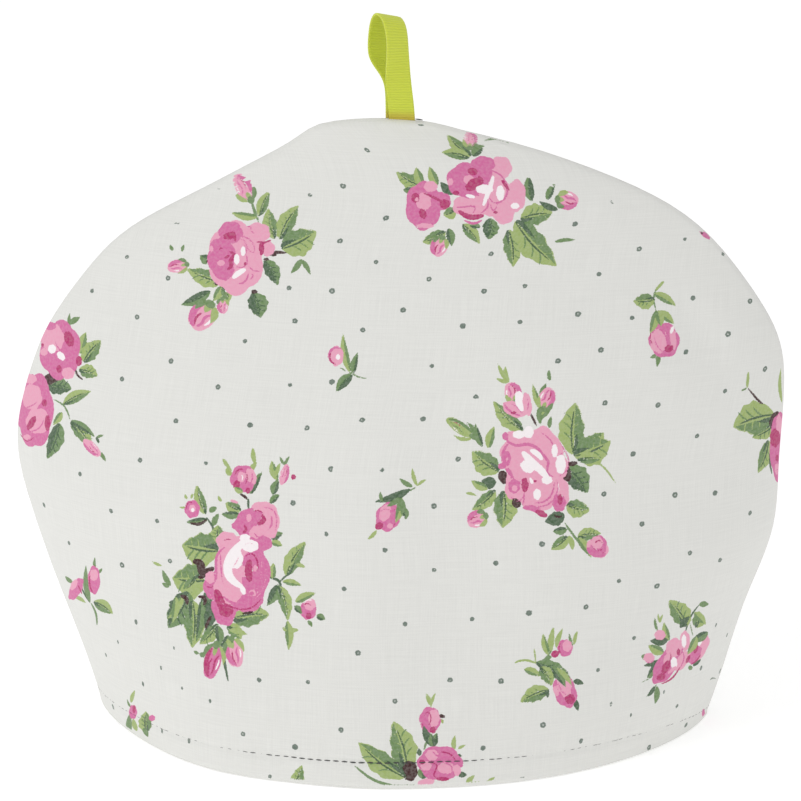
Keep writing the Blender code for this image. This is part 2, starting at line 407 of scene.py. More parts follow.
def drawLeaf(x, y, direction, length, width, ink="lightGreen", shade=1):
    # a leaf with its darker half, its midrib, a few side veins and a dark foot
    bend = 0.10 * shade
    shapes = [(ink, leafOutline(x, y, direction, length, width, bend))]
    if width < 2.6:
        return shapes
    second = "midGreen" if ink == "lightGreen" else "darkGreen"
    sides = (1.0, -0.2) if shade < 0 else (-0.2, 1.0)
    shapes.append((second, leafOutline(x, y, direction, length * 0.96, width * 0.97, bend, 0.82, sides)))
    if width < 4.2:
        return shapes

    def stroke(ink, points, breadth):
        return ink, strokeOutline(turned(np.array(points) * [length, width], x, y, direction), breadth)

    lift = bend * 0.5 * length / width
    if width > 5:
        for place in (0.28, 0.46, 0.64):
            for hand in (1, -1):
                veined = second if hand * shade > 0 else ink
                middle, end = (place + 0.09, lift + hand * 0.14), (place + 0.15, lift + hand * 0.33)
                shapes.append(stroke(veined, [(place, lift), middle, end], 0.04 * width + 0.24))
    shapes.append(stroke("darkGreen", [(0.02, 0.0), (0.45, lift), (0.84, 0.4 * lift)], 0.04 * width + 0.34))
    foot = leafOutline(x, y, direction - 6 * shade, 0.45 * length, 0.42 * width, bend, 0.6, sides)
    shapes.append(("darkGreen", foot))
    return shapes


def drawBud(x, y, direction, length, width, ink="lightPink", accent="midPink", sepals="lightGreen"):
    # a closed bud with its petals' edges and the green sepals that hold it
    def at(points):
        return turned(np.array(points, float) * [length, width], x, y, direction)

    body = blobOutline(length * 0.52, 0.0, length * 0.48, width * 0.46, 0.0, 5, 0.07, 0.4)
    shapes = [(ink, turned(body, x, y, direction))]
    for edge, breadth, points in (
        (accent, 0.26, [(0.12, -0.22), (0.42, -0.34), (0.74, -0.26), (0.94, -0.04)]),
        (accent, 0.11, [(0.28, 0.30), (0.50, 0.12), (0.72, 0.14), (0.90, 0.02)]),
        ("magenta", 0.09, [(0.40, -0.06), (0.62, -0.14), (0.86, -0.04)]),
        ("white", 0.09, [(0.40, 0.34), (0.56, 0.33), (0.72, 0.26)]),
    ):
        shapes.append((edge, strokeOutline(at(points), breadth * width)))
    if sepals:
        for hand, size in ((1, 0.62), (-1, 0.50), (0, 0.38)):
            foot = at([(0.0, 0.14 * hand)])[0]
            second = "midGreen" if hand < 0 else sepals
            sepal = leafOutline(*foot, direction + 24 * hand, size * length, 0.30 * width, 0.25 * hand)
            shapes.append((second, sepal))
        cup = blobOutline(0.02 * length, 0, 0.13 * length, 0.20 * width)
        shapes.append(("midGreen", turned(cup, x, y, direction)))
    return shapes


def drawPetals(rows):
    # strokes are rows of ink, width and points; petals are ink, x, y, half sizes, direction
    shapes = []
    for row in rows:
        if len(row) == 3:
            shapes.append((row[0], strokeOutline(row[2], row[1])))
        else:
            direction, lobes = row[5] if len(row) > 5 else 0.0, 0 if max(row[3:5]) < 1.2 else 6
            shapes.append((row[0], blobOutline(*row[1:5], direction, lobes, 0.12, row[1] + row[2])))
    return shapes


# Each spray is charted in millimetres round its rose, x right and y up, and set down where
# its middle shows in the picture. Leaves: x, y, direction, length, width, ink and shaded side.
light, mid, dark = "lightGreen", "midGreen", "darkGreen"
pale, rose, deep, white, brown = "lightPink", "midPink", "magenta", "white", "brown"

shoulderSpray = {
    "pixel": (236, 258),
    "leaves": (
        (15, 7.5, 100, 12.5, 6, light, 1), (17, 7.5, 60, 15.5, 7, light, 1),
        (18, 3.5, 27, 15.5, 11, light, -1), (11.5, -0.5, -64, 11.5, 6, mid, 1),
        (7, -13.6, -75, 10.5, 8, mid, 1), (-5, -9.6, 160, 15.3, 7, light, 1),
        (-10, -1.5, 150, 5, 4, mid, 1), (25.7, -0.5, -126, 6.9, 2.4, mid, 1),
        (25.7, -0.5, -59, 7.3, 2, mid, 1), (8.6, 16.1, 170, 10.8, 3.2, light, 1),
        (9, 16.6, 66, 11, 4.6, light, 1), (-10, -13.1, 205, 13, 4.5, mid, 1),
        (-5.5, -11, 240, 7, 3.6, light, 1), (-5, -11, -68, 6.6, 4.6, light, 1),
        (-24.7, 2.8, 120, 3, 1.4, mid, 1), (-21.4, 2.5, 70, 3, 1.4, mid, 1),
    ),
    "buds": (
        (6, 22.7, 120, 12, 7), (-19.2, -2.5, 190, 8, 5.5), (-10, -18, 235, 12, 11),
        (-5.3, -16, 270, 6, 5),
    ),
    "stems": ((mid, 1.2, ((6, 22.7), (7.5, 18), (9, 14))), (brown, 1.4, ((11, 1), (15.5, 2.2), (20, 2)))),
    "petals": (
        (brown, -10.8, -1.4, 0.9, 1.2), (brown, -7, -9.9, 1.8, 0.9), (brown, 7.3, -13.3, 1.3, 0.8),
        (brown, 12, -0.5, 1.2, 0.6), (brown, 14.7, 1.2, 1.3, 0.6), (pale, 0, 0, 10.8, 14.2),
        (pale, 8.5, 9.9, 4.9, 4.0), (pale, 12.6, 3.7, 2.8, 3.0), (rose, -2.1, 10.1, 4.7, 4.3),
        (rose, -5.7, 0.3, 5.5, 7.9), (rose, -4.8, -5.4, 3.6, 3.4), (pale, -9.7, 3.7, 0.9, 1.5),
        (pale, -5.9, -2, 1.7, 1.3), (deep, -2.5, 8.8, 2.6, 1.4, 10),
        (deep, 1.2, ((-1, 10.7), (-0.2, 6.3))),
        (deep, 1.6, ((-2.5, 2.7), (-0.8, 1), (-2.1, -1.2), (-1.9, -3.1), (-3.6, -4.6))),
        (deep, 1.0, ((-4.6, -0.1), (-2.5, 1))), (deep, 0.6, ((-6.7, 3.1), (-5.9, 4), (-5, 3.9))),
        (white, 2.8, 2.7, 0.95, 1.9), (white, 0.3, -0.5, 1.1, 2.1),
        (white, 2.2, ((3.9, -4.5), (1.3, -5.8), (-1.4, -8.1))),
        (rose, 0.6, ((0.1, 8.8), (3.9, 8.2), (6.9, 5.2), (7.3, 2))),
        (rose, 0.55, ((0.9, 8.2), (3.9, 5.9), (4.7, 3.7), (7.1, 2))),
        (rose, 0.6, ((2, 5.9), (3.7, 3.7), (4.1, 1), (4.2, -2.4), (2.4, -3.7), (-0.2, -3.3))),
        (rose, 0.6, ((4.7, -3.1), (6.9, -4.8), (9.6, -5.4))), (deep, 3.6, -2.4, 0.5, 0.9),
        (deep, 10.1, 3.9, 1.0, 2.8), (deep, 0.9, ((8.1, 6.5), (10.3, 6.1), (13.9, 7.1))),
        (rose, 0.8, ((0.3, -10.1), (2.8, -9.8), (4.5, -7.7), (4.9, -6))),
        (rose, 0.6, ((5.4, -8.6), (6.7, -6.9), (6, -6))),
        (rose, 0.7, ((4.3, 12.4), (5.8, 12.2), (6.4, 10.3), (7.5, 9.7))),
        (rose, 0.7, ((-5, -8.4), (-2.1, -6.5), (-0.4, -4.1))),
    ),
}
crownSpray = {
    "pixel": (486.6, 190.2),
    "leaves": (
        (-6.1, 13.3, 138, 13, 5, light, 1), (-6.7, 13, 170, 11.3, 4.5, light, -1),
        (-5.8, 13.6, 40, 6.5, 4, mid, 1), (-24.4, 1.1, 152, 13, 6, light, 1),
        (-25.5, 1.7, 107, 7.8, 4, light, 1), (-19.4, 1.7, 112, 8.3, 3.8, light, 1),
        (-13.3, -1.7, 135, 7, 3.5, dark, 1), (-28.5, 0, 178, 4.5, 3, mid, 1),
        (13.3, -11.1, 9, 13.2, 8.5, light, 1), (11.1, -12.2, -47, 24.5, 11, light, -1),
        (8.9, -15.5, -84, 15, 7.5, light, 1), (1.7, -11.1, -97, 8.6, 6.5, mid, 1),
        (17.7, -4.4, 96, 10.5, 4.2, mid, 1), (23.8, -3.9, 63, 7.5, 3, mid, 1),
        (28.3, -7.8, 156, 8.4, 2.6, dark, 1), (26.6, -20.5, 5, 9, 1.6, mid, 1),
        (-16.1, -16.6, 203, 10.2, 5.5, light, 1), (-15, -15, -81, 7.3, 3.5, mid, 1),
        (-9.4, -13.3, -50, 10.4, 5, light, 1), (-6.6, -13.8, -10, 4.5, 2.6, mid, 1),
        (-12, -8, 200, 5.5, 5, light, 1),
    ),
    "buds": ((27.8, -3.5, -8, 8.5, 8), (-17.5, -18.5, 250, 8, 7.2), (-6.7, 16.6, 85, 7, 6)),
    "stems": ((mid, 1.2, ((-1, 19.4), (5, 20.5), (10, 18))),),
    "petals": (
        (rose, -25, -6.2, 6.9, 9.4), (pale, -22.2, 1.4, 2.8, 2.2), (pale, -24.7, -4.3, 3.5, 3.5),
        (rose, -18.1, -4.3, 4, 3.5),
        (deep, 1.0, ((-25, -1.1), (-21.2, -2.7), (-18.1, -4.3), (-15.2, -6.2))),
        (deep, -16.5, -5.5, 2, 1.9), (deep, -28.1, -3, 1.6, 1.9), (pale, -27.6, -3.6, 0.8, 1.0),
        (deep, -25.2, -9.3, 1.4, 2.0, 20), (pale, -24.4, -14, 3.5, 1.1), (pale, 5.5, 8.9, 4.4, 4.4),
        (pale, 11.8, -2.1, 3.6, 6.3), (pale, 6.8, -9.3, 4.1, 4.1), (pale, 2.1, -1.8, 7.2, 8.2),
        (pale, -6.1, -6.2, 7.2, 4.7), (rose, -1.4, 10.2, 4.7, 3.2), (rose, -7.7, 3.9, 7.9, 6.9),
        (rose, -2.3, 6.4, 4.4, 4.4), (pale, -7.1, 4.2, 2.2, 1.9), (pale, -14.3, 3.3, 1.3, 1.6),
        (deep, -5.5, 7.4, 2.0, 1.4, -15), (deep, -5.2, 2.3, 3.5, 2.1, 35),
        (deep, 1.6, ((-3.3, 5.5), (-2, 3.9), (-3.9, 0.8))), (white, -0.8, 0.4, 3.4, 1.8),
        (white, 1.9, ((2.7, 5.8), (2.1, 3.3), (0.8, -0.5), (-1.4, -6.2))), (white, 5.4, -1.1, 1.6, 3.0),
        (white, -6.4, -2.4, 1.9, 0.7, -10), (white, 11.2, -6.2, 1.7, 1.2),
        (rose, 0.8, ((1.1, 8), (4.9, 6.4), (7.7, 2.6), (8.1, -1.1), (5.5, -4.6), (2.7, -4.9), (1.1, -3))),
        (deep, 1.3, ((5.9, 4.2), (9, -0.2))), (rose, 0.7, ((-8.9, -0.8), (-5.5, -1.1), (-2.6, -2.4))),
        (rose, 0.7, ((-12.1, -6.8), (-8.3, -6.5), (-4.5, -6.8), (-5.5, -9.3))),
        (deep, 2.2, ((-11.1, -8.1), (-7.7, -10.3), (-3.9, -10.6), (-1.1, -9.9))),
        (rose, 1.1, ((-8.9, -11.8), (-5.2, -13.1), (-1.7, -11.8))),
        (rose, 0.7, ((-2.6, -9.3), (0.5, -6.2), (0.2, -3))),
        (rose, 0.6, ((1.4, -5.5), (2.7, -8.1), (4.3, -5.9))), (deep, 3.5, -8.7, 0.9, 0.6),
        (deep, -12.1, -1.1, 1.3, 0.9), (rose, 0.7, ((-3.9, 12.1), (-0.8, 8.9), (0.8, 5.8))),
    ),
}
rightSpray = {
    "pixel": (535.4, 475.1),
    "leaves": (
        (14.8, 7.9, 87, 21, 10.4, light, 1), (20, 10.5, 42, 9.5, 6.5, light, -1),
        (15.3, 7.3, 23, 15.8, 11.6, light, -1), (16.4, 6.4, 0, 10, 5, light, 1),
        (12, 3.5, -50, 13.7, 9.4, mid, 1), (12, -12, -11, 9.8, 7.2, light, -1),
        (11.6, -15.6, 200, 8.4, 5.6, dark, 1), (12.6, -21.4, 188, 6, 3.2, mid, 1),
        (12.9, -24.3, 217, 8.6, 4.8, light, 1), (13.2, -23.8, -75, 6.3, 2.3, light, 1),
        (16.6, -24.3, 8, 9.4, 5.2, light, 1), (16.6, -24.4, -56, 10, 3.6, light, 1),
        (1, 22, 44, 8.4, 3.6, light, 1), (2, 20, 92, 8, 2.2, mid, 1),
        (-14.4, 1.1, 142, 13.6, 9, light, 1), (-21, 11, 106, 10, 2.8, mid, 1),
        (-18.6, 10.5, 75, 9.2, 3.6, light, 1), (-15.5, -3.3, 170, 6, 5, dark, 1),
        (-18.6, -5.5, 154, 7.6, 3.5, light, 1), (-15.5, -6.1, 219, 12.4, 5.5, light, 1),
        (-12.2, -6.1, -93, 15, 9.5, light, 1), (-27.7, -7, -15, 5, 1.2, light, 1),
        (-5, 17.2, 134, 16.8, 6.5, light, 1), (-10.5, 36.6, 120, 9, 1.8, light, 1),
        (-10.5, 36.6, 102, 7, 1.6, light, 1), (-10.5, 36.6, 162, 5.5, 1.6, light, 1),
        (5.8, 37, 95, 5, 1.6, mid, 1), (5.5, 18.5, 80, 5, 1.8, mid, 1), (3, 25, 110, 12, 2.6, light, 1),
        (2.5, 30, 75, 6.5, 2.6, mid, 1),
    ),
    "buds": (
        (20.2, -26.6, -28, 9.4, 8.0, pale, rose, None), (-19.4, -16, 200, 8, 7.4),
        (-7.5, 29, 110, 8, 7.4), (3, 26, 70, 9, 7), (-24.4, 15, 145, 13, 5, "lightGreen", "midGreen"),
    ),
    "stems": (
        (brown, 1.0, ((0.5, 19.4), (-0.8, 22), (-2, 24.5))),
        (mid, 1.0, ((11.6, -18.8), (16, -25), (21, -30.5))),
        (light, 0.8, ((23.3, 6.1), (28, 2), (31.6, -3.3))),
    ),
    "petals": (
        (brown, -12.6, -0.9, 2.0, 2.8, 25), (brown, -7.4, -10.8, 1.9, 2.2), (brown, 12.2, 0.2, 1.9, 3.4),
        (brown, 0.9, ((7.4, -15.6), (9.2, -16.6), (10.6, -16))), (brown, 14.5, 4.5, 2.2, 0.9, 10),
        (pale, -8.4, 26, 4.8, 2.8, -25), (white, -5.9, 29.2, 2.0, 4.0, 15), (pale, -3.3, 28, 1.8, 4.6, 8),
        (rose, 0.5, ((-3.4, 31), (-2.8, 28), (-3.6, 25))),
        (rose, 1.0, ((-12.6, 28.4), (-10.2, 25.4), (-5.8, 23.4))),
        (rose, 0.6, ((-9.5, 28.2), (-6.8, 26.4), (-5, 23.8))), (deep, -8.6, 24.6, 1.2, 0.6),
        (pale, -0.4, 0.5, 11.5, 13.1), (pale, -8.8, 8, 5.2, 6.4), (pale, -9, -5.4, 3, 4.2),
        (pale, 4.8, 9.1, 6, 10.5, 21), (pale, 10.1, 3.3, 2.9, 4.8), (white, 10, 4.3, 2.0, 3.8),
        (rose, 0.6, ((9.2, 13.4), (12.2, 8.6), (13, 3), (9.2, -0.6))),
        (rose, 0.6, ((2, 17), (5.4, 14.4), (7.2, 11), (8.4, 7.6), (11, 9))), (white, 7.6, 9.6, 1.2, 2.6),
        (pale, 10.1, -7.3, 3.2, 6.4), (pale, 1.1, -8.7, 7.9, 5.3), (rose, -8.4, -4.4, 2.3, 2.8),
        (pale, -8.2, -5.2, 1.3, 1.4), (rose, 0.6, ((-10.8, -2.6), (-7, -3), (-4.6, -1.4))),
        (rose, 0.6, ((-9.8, -8.4), (-6.6, -10.4), (-4.6, -8))), (pale, -7.4, 14.9, 5.3, 2.6),
        (white, -6.6, 16, 2.4, 1.6), (white, -2.6, 17, 1.9, 2.4),
        (
            rose, 1.3,
            (
                (-12.6, 15.4), (-11.1, 13.6), (-7.4, 11.7), (-3.7, 12.2), (0.6, 10.7), (3, 8), (5.1, 4.8),
                (4.6, 1.7), (7.2, -1),
            ),
        ),
        (rose, -11.9, 15.4, 1.2, 1.6), (rose, 1.1, ((-10.6, 12.6), (-12.6, 9.4), (-13.2, 5.4))),
        (rose, -11.4, 6.6, 1.7, 3.0), (rose, 0.9, ((-11, 3), (-9.4, 0.2), (-9.6, -1.6))),
        (pale, -11.3, 6.4, 0.5, 1.3), (rose, -13.2, 3.5, 1.6, 1.2),
        (rose, 1.3, ((-11.9, 2.7), (-10, 0.6), (-8.7, -1.2))),
        (white, 3.2, ((-5.2, 9.3), (-2.1, 5.9), (1.9, 2.2), (5.1, -1.5))),
        (white, -3.1, 3.3, 2.9, 2.1, -40), (white, 4.6, -2, 2.1, 1.6),
        (white, 2.0, ((-5.8, 4.8), (-3.1, 1.1))), (white, 1.3, ((-2.1, -1), (-1, -3.6))),
        (white, 2.2, ((-2.1, 9.9), (0.6, 8.5), (2.7, 5.9))),
        (pale, 0.6, ((-3.7, 9.9), (0, 5.9), (3.8, 2.7))), (deep, -0.1, -2.4, 0.8, 0.5),
        (deep, -4.2, -3.9, 1.3, 2.9), (deep, 1.6, ((-5, -1), (-3.4, -4.2), (-5, -6.3))),
        (rose, 0.7, ((-8.9, -2.6), (-5.5, -3.4))), (white, 0.7, -7.6, 1.5, 2.2),
        (rose, 0.6, ((-4.6, -6.4), (-4.4, -9.4), (-5.2, -12))),
        (rose, 0.8, ((-0.5, -11), (4.3, -10), (6.7, -6.8), (7.5, -2.6))),
        (rose, 0.7, ((0.6, -12.4), (4.6, -11.8), (6.7, -10))), (rose, 9.4, -11, 2.7, 3.4),
        (rose, 0.6, ((8.2, -1.6), (9, -5.4), (7.2, -8.8))),
        (white, 0.5, ((8.9, -2.6), (9.3, -5.4), (9, -7.4))), (deep, 9.7, -9.6, 1.0, 2.2),
        (rose, 2.4, ((-5, -12.9), (-1, -13.1), (3.2, -15.8))), (deep, 2.4, -15.2, 2.6, 1.2, -25),
        (rose, 25, -27.6, 3.2, 3.8), (pale, 24.4, -26.6, 2.4, 2.6),
        (deep, 0.6, ((23.4, -27), (25, -25.8), (26.6, -27))),
        (deep, 0.5, ((22.6, -28.6), (24.8, -29.8), (26.8, -29))),
    ),
}
leftSpray = {
    "pixel": (239.3, 574.3),
    "leaves": (
        (-8.2, 12, 92, 7.5, 6.5, light, 1), (-8.2, 9, 170, 14.8, 14, light, 1),
        (-22, 1, -80, 6, 4, light, 1), (-12.6, -2.5, 176, 14, 14, light, 1),
        (-17, -2, 220, 7, 5, light, 1), (-19.8, -7, 240, 16.5, 10.5, mid, 1),
        (-22, -8, 236, 12, 3.4, light, 1), (-25, -8.5, 262, 11.5, 3.4, light, 1),
        (-10.2, -6, -120, 11, 6, mid, 1), (-18.3, -10.3, -91, 19, 8.6, light, 1),
        (-15, -10, -97, 17, 3.4, mid, 1), (-10.2, -9.5, -104, 13.5, 5.4, dark, 1),
        (-2.8, -17.4, 6, 14.8, 9.6, light, 1), (-8.2, -19.8, 226, 11, 5.4, light, 1),
        (-8.6, -20, -84, 8.5, 3.4, mid, 1), (-4.6, -19.6, -48, 8.2, 5.2, light, 1),
        (-4.4, -22, -14, 8, 2.5, light, 1), (-4.4, -24, -104, 7.4, 3.8, mid, 1),
        (-27, -4.6, 118, 7.4, 2.2, mid, 1), (-27.5, -5, 152, 3.5, 1.6, mid, 1),
        (-30.6, 3.4, 156, 4.4, 1.2, light, 1), (13.2, -1.9, 86, 6.6, 3, light, 1),
        (15.4, -4, -118, 9.6, 4.2, mid, 1), (16, -4.4, -77, 14.4, 5.2, light, 1),
        (17, -2.8, -12, 7.8, 2.7, light, 1), (18.3, -0.6, 60, 15.8, 6.4, light, 1),
        (20, 3, 92, 6.4, 1.8, light, 1), (22, 4, -18, 4.6, 1.6, light, 1),
        (19, -18.2, -88, 12, 3.4, light, 1), (20, -22.4, 6, 3.6, 1.8, light, 1),
        (19, -22.6, 140, 2.6, 1.2, light, 1), (-13.4, 23.6, 106, 12.4, 4.4, light, 1),
        (-12.4, 21.6, 186, 8.8, 3.2, mid, 1), (-12, 24.6, 30, 3.8, 2.4, mid, 1),
        (-10.4, 19, 66, 5.6, 2.5, mid, 1), (-20.6, 26.4, 176, 3.4, 0.9, light, 1),
        (-20.6, 29.6, 112, 2.4, 1.2, light, 1), (-19, 29.8, 72, 2.4, 1, light, 1),
        (0.6, 25, 152, 7, 5, light, 1), (0.4, 23.6, 178, 7.6, 3.2, mid, 1),
        (-7, 28.6, 118, 3, 1.3, light, 1), (4.2, 31.4, 62, 10.4, 3.2, mid, 1),
        (4, 40, 56, 5.4, 2.2, light, 1), (6.2, 43.6, 96, 7, 2, light, 1),
        (-3, 39, 130, 3.8, 2.2, light, 1), (-3, 40.6, 118, 6, 1.2, light, 1),
        (-4.4, 42, 118, 5, 1, light, 1), (15, 37, 106, 8.6, 3.2, light, 1),
        (14.4, 38.4, 72, 6, 1.8, light, 1), (13.2, 31.4, 70, 6.6, 3.4, mid, 1),
        (12, 28, 42, 5.4, 2.6, mid, 1), (18, 43, 118, 4.4, 1.2, mid, 1), (18, 43, 64, 4.2, 1.2, mid, 1),
        (12.4, 14, 26, 5.4, 3.2, mid, 1), (12.4, 13, -22, 5, 2.8, light, 1),
    ),
    "buds": (
        (16.6, 35, 74, 8.8, 3.8, pale, rose, None), (-9, -27.6, -103, 14, 7.2, rose, deep),
        (-3.4, -25.6, -76, 11.4, 7.4),
    ),
    "stems": (
        (dark, 0.9, ((-13.2, 22.8), (-10.4, 18.4), (-8.6, 11.4))),
        (dark, 1.0, ((3.6, 30), (3.6, 27), (3.8, 25.6))),
        (dark, 1.2, ((-8.6, -20), (-6.8, -30), (-5.6, -36), (-4.4, -42.4))),
        (dark, 1.2, ((11, -1), (15.8, -3), (16.6, -5))), (dark, 0.8, ((15.8, -3), (18, -1), (20.4, 1.4))),
    ),
    "petals": (
        (rose, 1.5, 37.6, 5.0, 5.5), (pale, 4.6, 38.8, 2.0, 3.4, 20), (pale, 0.8, 38.4, 1.7, 2.3),
        (deep, -1, 35.4, 1.4, 1.7), (deep, 0.7, ((-1.8, 39), (-0.6, 41.2), (2, 41.6))),
        (deep, 0.6, ((2.4, 40.6), (3.2, 37.8), (2.4, 35.6))),
        (rose, 0.6, ((4.6, 40.6), (5.2, 38), (4.2, 35.6))),
        (white, 0.5, ((0.2, 40), (1.4, 38.4), (0.8, 36.6))),
        (brown, 1.1, ((0, 31.8), (2, 30.8), (3.4, 29.4))), (deep, 3.4, 33, 0.9, 1.2),
        (rose, -18.6, 25.8, 3.0, 3.5), (pale, -18.6, 26, 1.5, 1.7),
        (deep, 0.6, ((-21, 25.4), (-20.4, 28), (-18, 28.4))), (white, -18.4, 25.4, 0.7, 0.8),
        (rose, 0.7, ((-17, 28), (-16.2, 25.6), (-17.4, 23.4))),
        (brown, 1.3, ((-19.6, 20.4), (-16.4, 19.8), (-12.8, 21.6))), (deep, 21.4, 38.4, 1.0, 1.1),
        (pale, 1.2, ((-3.6, 29.2), (-2, 28.8), (-0.4, 28.2))),
        (brown, 3.4, ((-10, 2.6), (-14.6, 1.2), (-15.6, 4.4), (-18.4, 5))),
        (brown, -14.4, -0.6, 2.0, 1.0, 30), (brown, 1.8, ((-20.6, -12), (-21, -9.6), (-23.4, -8.4))),
        (brown, 1.6, ((-14, -12.4), (-13.6, -9.4), (-16.4, -8.8))),
        (brown, 1.3, ((-11, -16.4), (-12.6, -19.4), (-13.4, -21.6))),
        (brown, 1.2, ((1, -15.4), (5.4, -14.6), (7.4, -12.6))), (rose, 4.1, 20.8, 6.6, 5.0, 35),
        (pale, 12.1, 20.9, 3.7, 6.8), (pale, 9.1, 26.7, 4.2, 2.0), (pale, 7.4, 16.4, 3.6, 3),
        (rose, 9.6, 12.2, 3.4, 2.8), (rose, -0.8, 19.2, 2.3, 1.6),
        (deep, 2.0, ((9, 23.6), (9.6, 21.2), (7, 20))), (deep, 1.2, ((2, 19.6), (2.6, 17.4), (1, 16.4))),
        (pale, 3.8, 22.3, 1.2, 1.8), (pale, 0.5, ((-1, 20.6), (1.4, 21.8), (2.4, 19.2))),
        (rose, 0.8, ((12.3, 23.6), (12.9, 20.4), (11.3, 17.2))),
        (rose, 0.6, ((9.6, 26.4), (13.2, 25.4), (14.8, 21.6), (14.2, 17))),
        (deep, 0.6, ((5.2, 24.8), (7.4, 25.2), (9.6, 24))),
        (rose, 0.6, ((5.6, 16.8), (7.6, 14.6), (9.8, 15.6))),
        (pale, 0.6, ((8.6, 11.4), (10.2, 12.6), (11.4, 11.6))), (rose, -10.2, -4.4, 4.0, 5.4),
        (rose, -6.2, -13.4, 4.6, 7.0, 12), (pale, -11.4, -1.2, 2.2, 2.6),
        (pale, 0.6, ((-12.8, -6.4), (-11, -8.8), (-9.2, -12.6))),
        (deep, 0.5, ((-13.4, -4.4), (-11.2, -5.2), (-9.6, -3.2))), (rose, 1.2, 0.2, 10.6, 14.8),
        (pale, -0.8, 1.4, 8.8, 13.2), (pale, -4.9, 13.2, 4.2, 3.6), (pale, -3, -5, 7, 7),
        (rose, 5.8, 0.6, 4.8, 9.8), (rose, 4.2, -11, 5.2, 3.8, 20),
        (white, 3.6, ((3.6, 14.3), (-1.6, 9.4), (-4.5, 3.5), (-4.2, -0.1), (1.3, -5.2))),
        (white, 4.4, 11.2, 3.2, 2.4), (white, -1.4, 6.2, 2.8, 4), (white, 2.2, 14.3, 2, 1.6),
        (white, 1.4, -6.2, 1.0, 1.9, 20), (pale, 0.8, ((-0.1, 7.4), (-1.4, 4.4), (-3.1, 2.2))),
        (pale, 0.6, ((1.6, 11.4), (4, 12.4), (6.4, 11))), (pale, 1.4, 1.2, 2.2, 2.4),
        (deep, 3.0, ((4.2, 5.8), (3.6, 1.6), (4.3, -3))), (pale, 6.2, 2.4, 0.9, 1.6),
        (deep, 0.7, ((2.4, 7.2), (5.2, 8), (7, 5.4), (7.2, 1))),
        (pale, 0.6, ((6.6, 8.4), (8.6, 5.2), (8.6, 0.4), (7.6, -4.4))),
        (pale, 0.6, ((9.4, 7.4), (10.4, 2), (9.8, -4.2), (6.4, -9.4), (1, -11.4))),
        (pale, 0.7, ((6, -4.4), (7.4, -6.8), (4.4, -8.6), (2, -7.4))),
        (pale, 1.2, ((3.4, -7.2), (5.6, -6.4), (6.2, -8.8))),
        (rose, 1.1, ((-5.6, 10.8), (-8.5, 8), (-9.2, 2.6), (-9, -2.6))),
        (deep, 0.5, ((-7, 12.8), (-5, 13.8), (-2.6, 13.4))),
        (rose, 0.6, ((-7.4, 8.6), (-7.2, 2), (-6.4, -4))),
        (deep, 0.6, ((8.8, -9.6), (5, -13), (0.4, -13.8), (-4, -12.2))),
        (rose, 1.0, ((-6.6, -8.4), (-3.4, -11), (2, -12))),
        (deep, 3.4, ((-9.3, -5.9), (-7.6, -10.6), (-5.6, -15.6))), (deep, -5.2, -14.2, 2.8, 2.6),
        (rose, 0.7, ((-8.6, -9), (-5.6, -12.4), (-2.4, -13.6))), (rose, 27.2, -14.2, 3.2, 3.7),
        (pale, 27.8, -12, 2.4, 2.4, 20), (deep, 27.4, -16.4, 1.1, 1.3),
        (deep, 0.5, ((24.8, -12.8), (26.4, -11.6), (28.6, -12.6))),
        (white, 0.5, ((25.6, -11.4), (27.2, -10), (29, -10.6))),
    ),
    "sepals": (
        (22, -11, 24, 9, 3.4, light), (21.8, -12.4, -48, 4.6, 2.6, mid), (30.4, -16.2, -26, 4, 2.8, mid),
        (27, -18.2, -54, 3.2, 1.6, mid), (1.6, 32.4, 150, 4.4, 2.6, light),
        (-5, -25.4, -70, 4.4, 2.2, light), (-15.6, -31, -50, 2.6, 1.8, mid),
        (-16, -31.4, 150, 2.4, 1.4, mid),
    ),
}

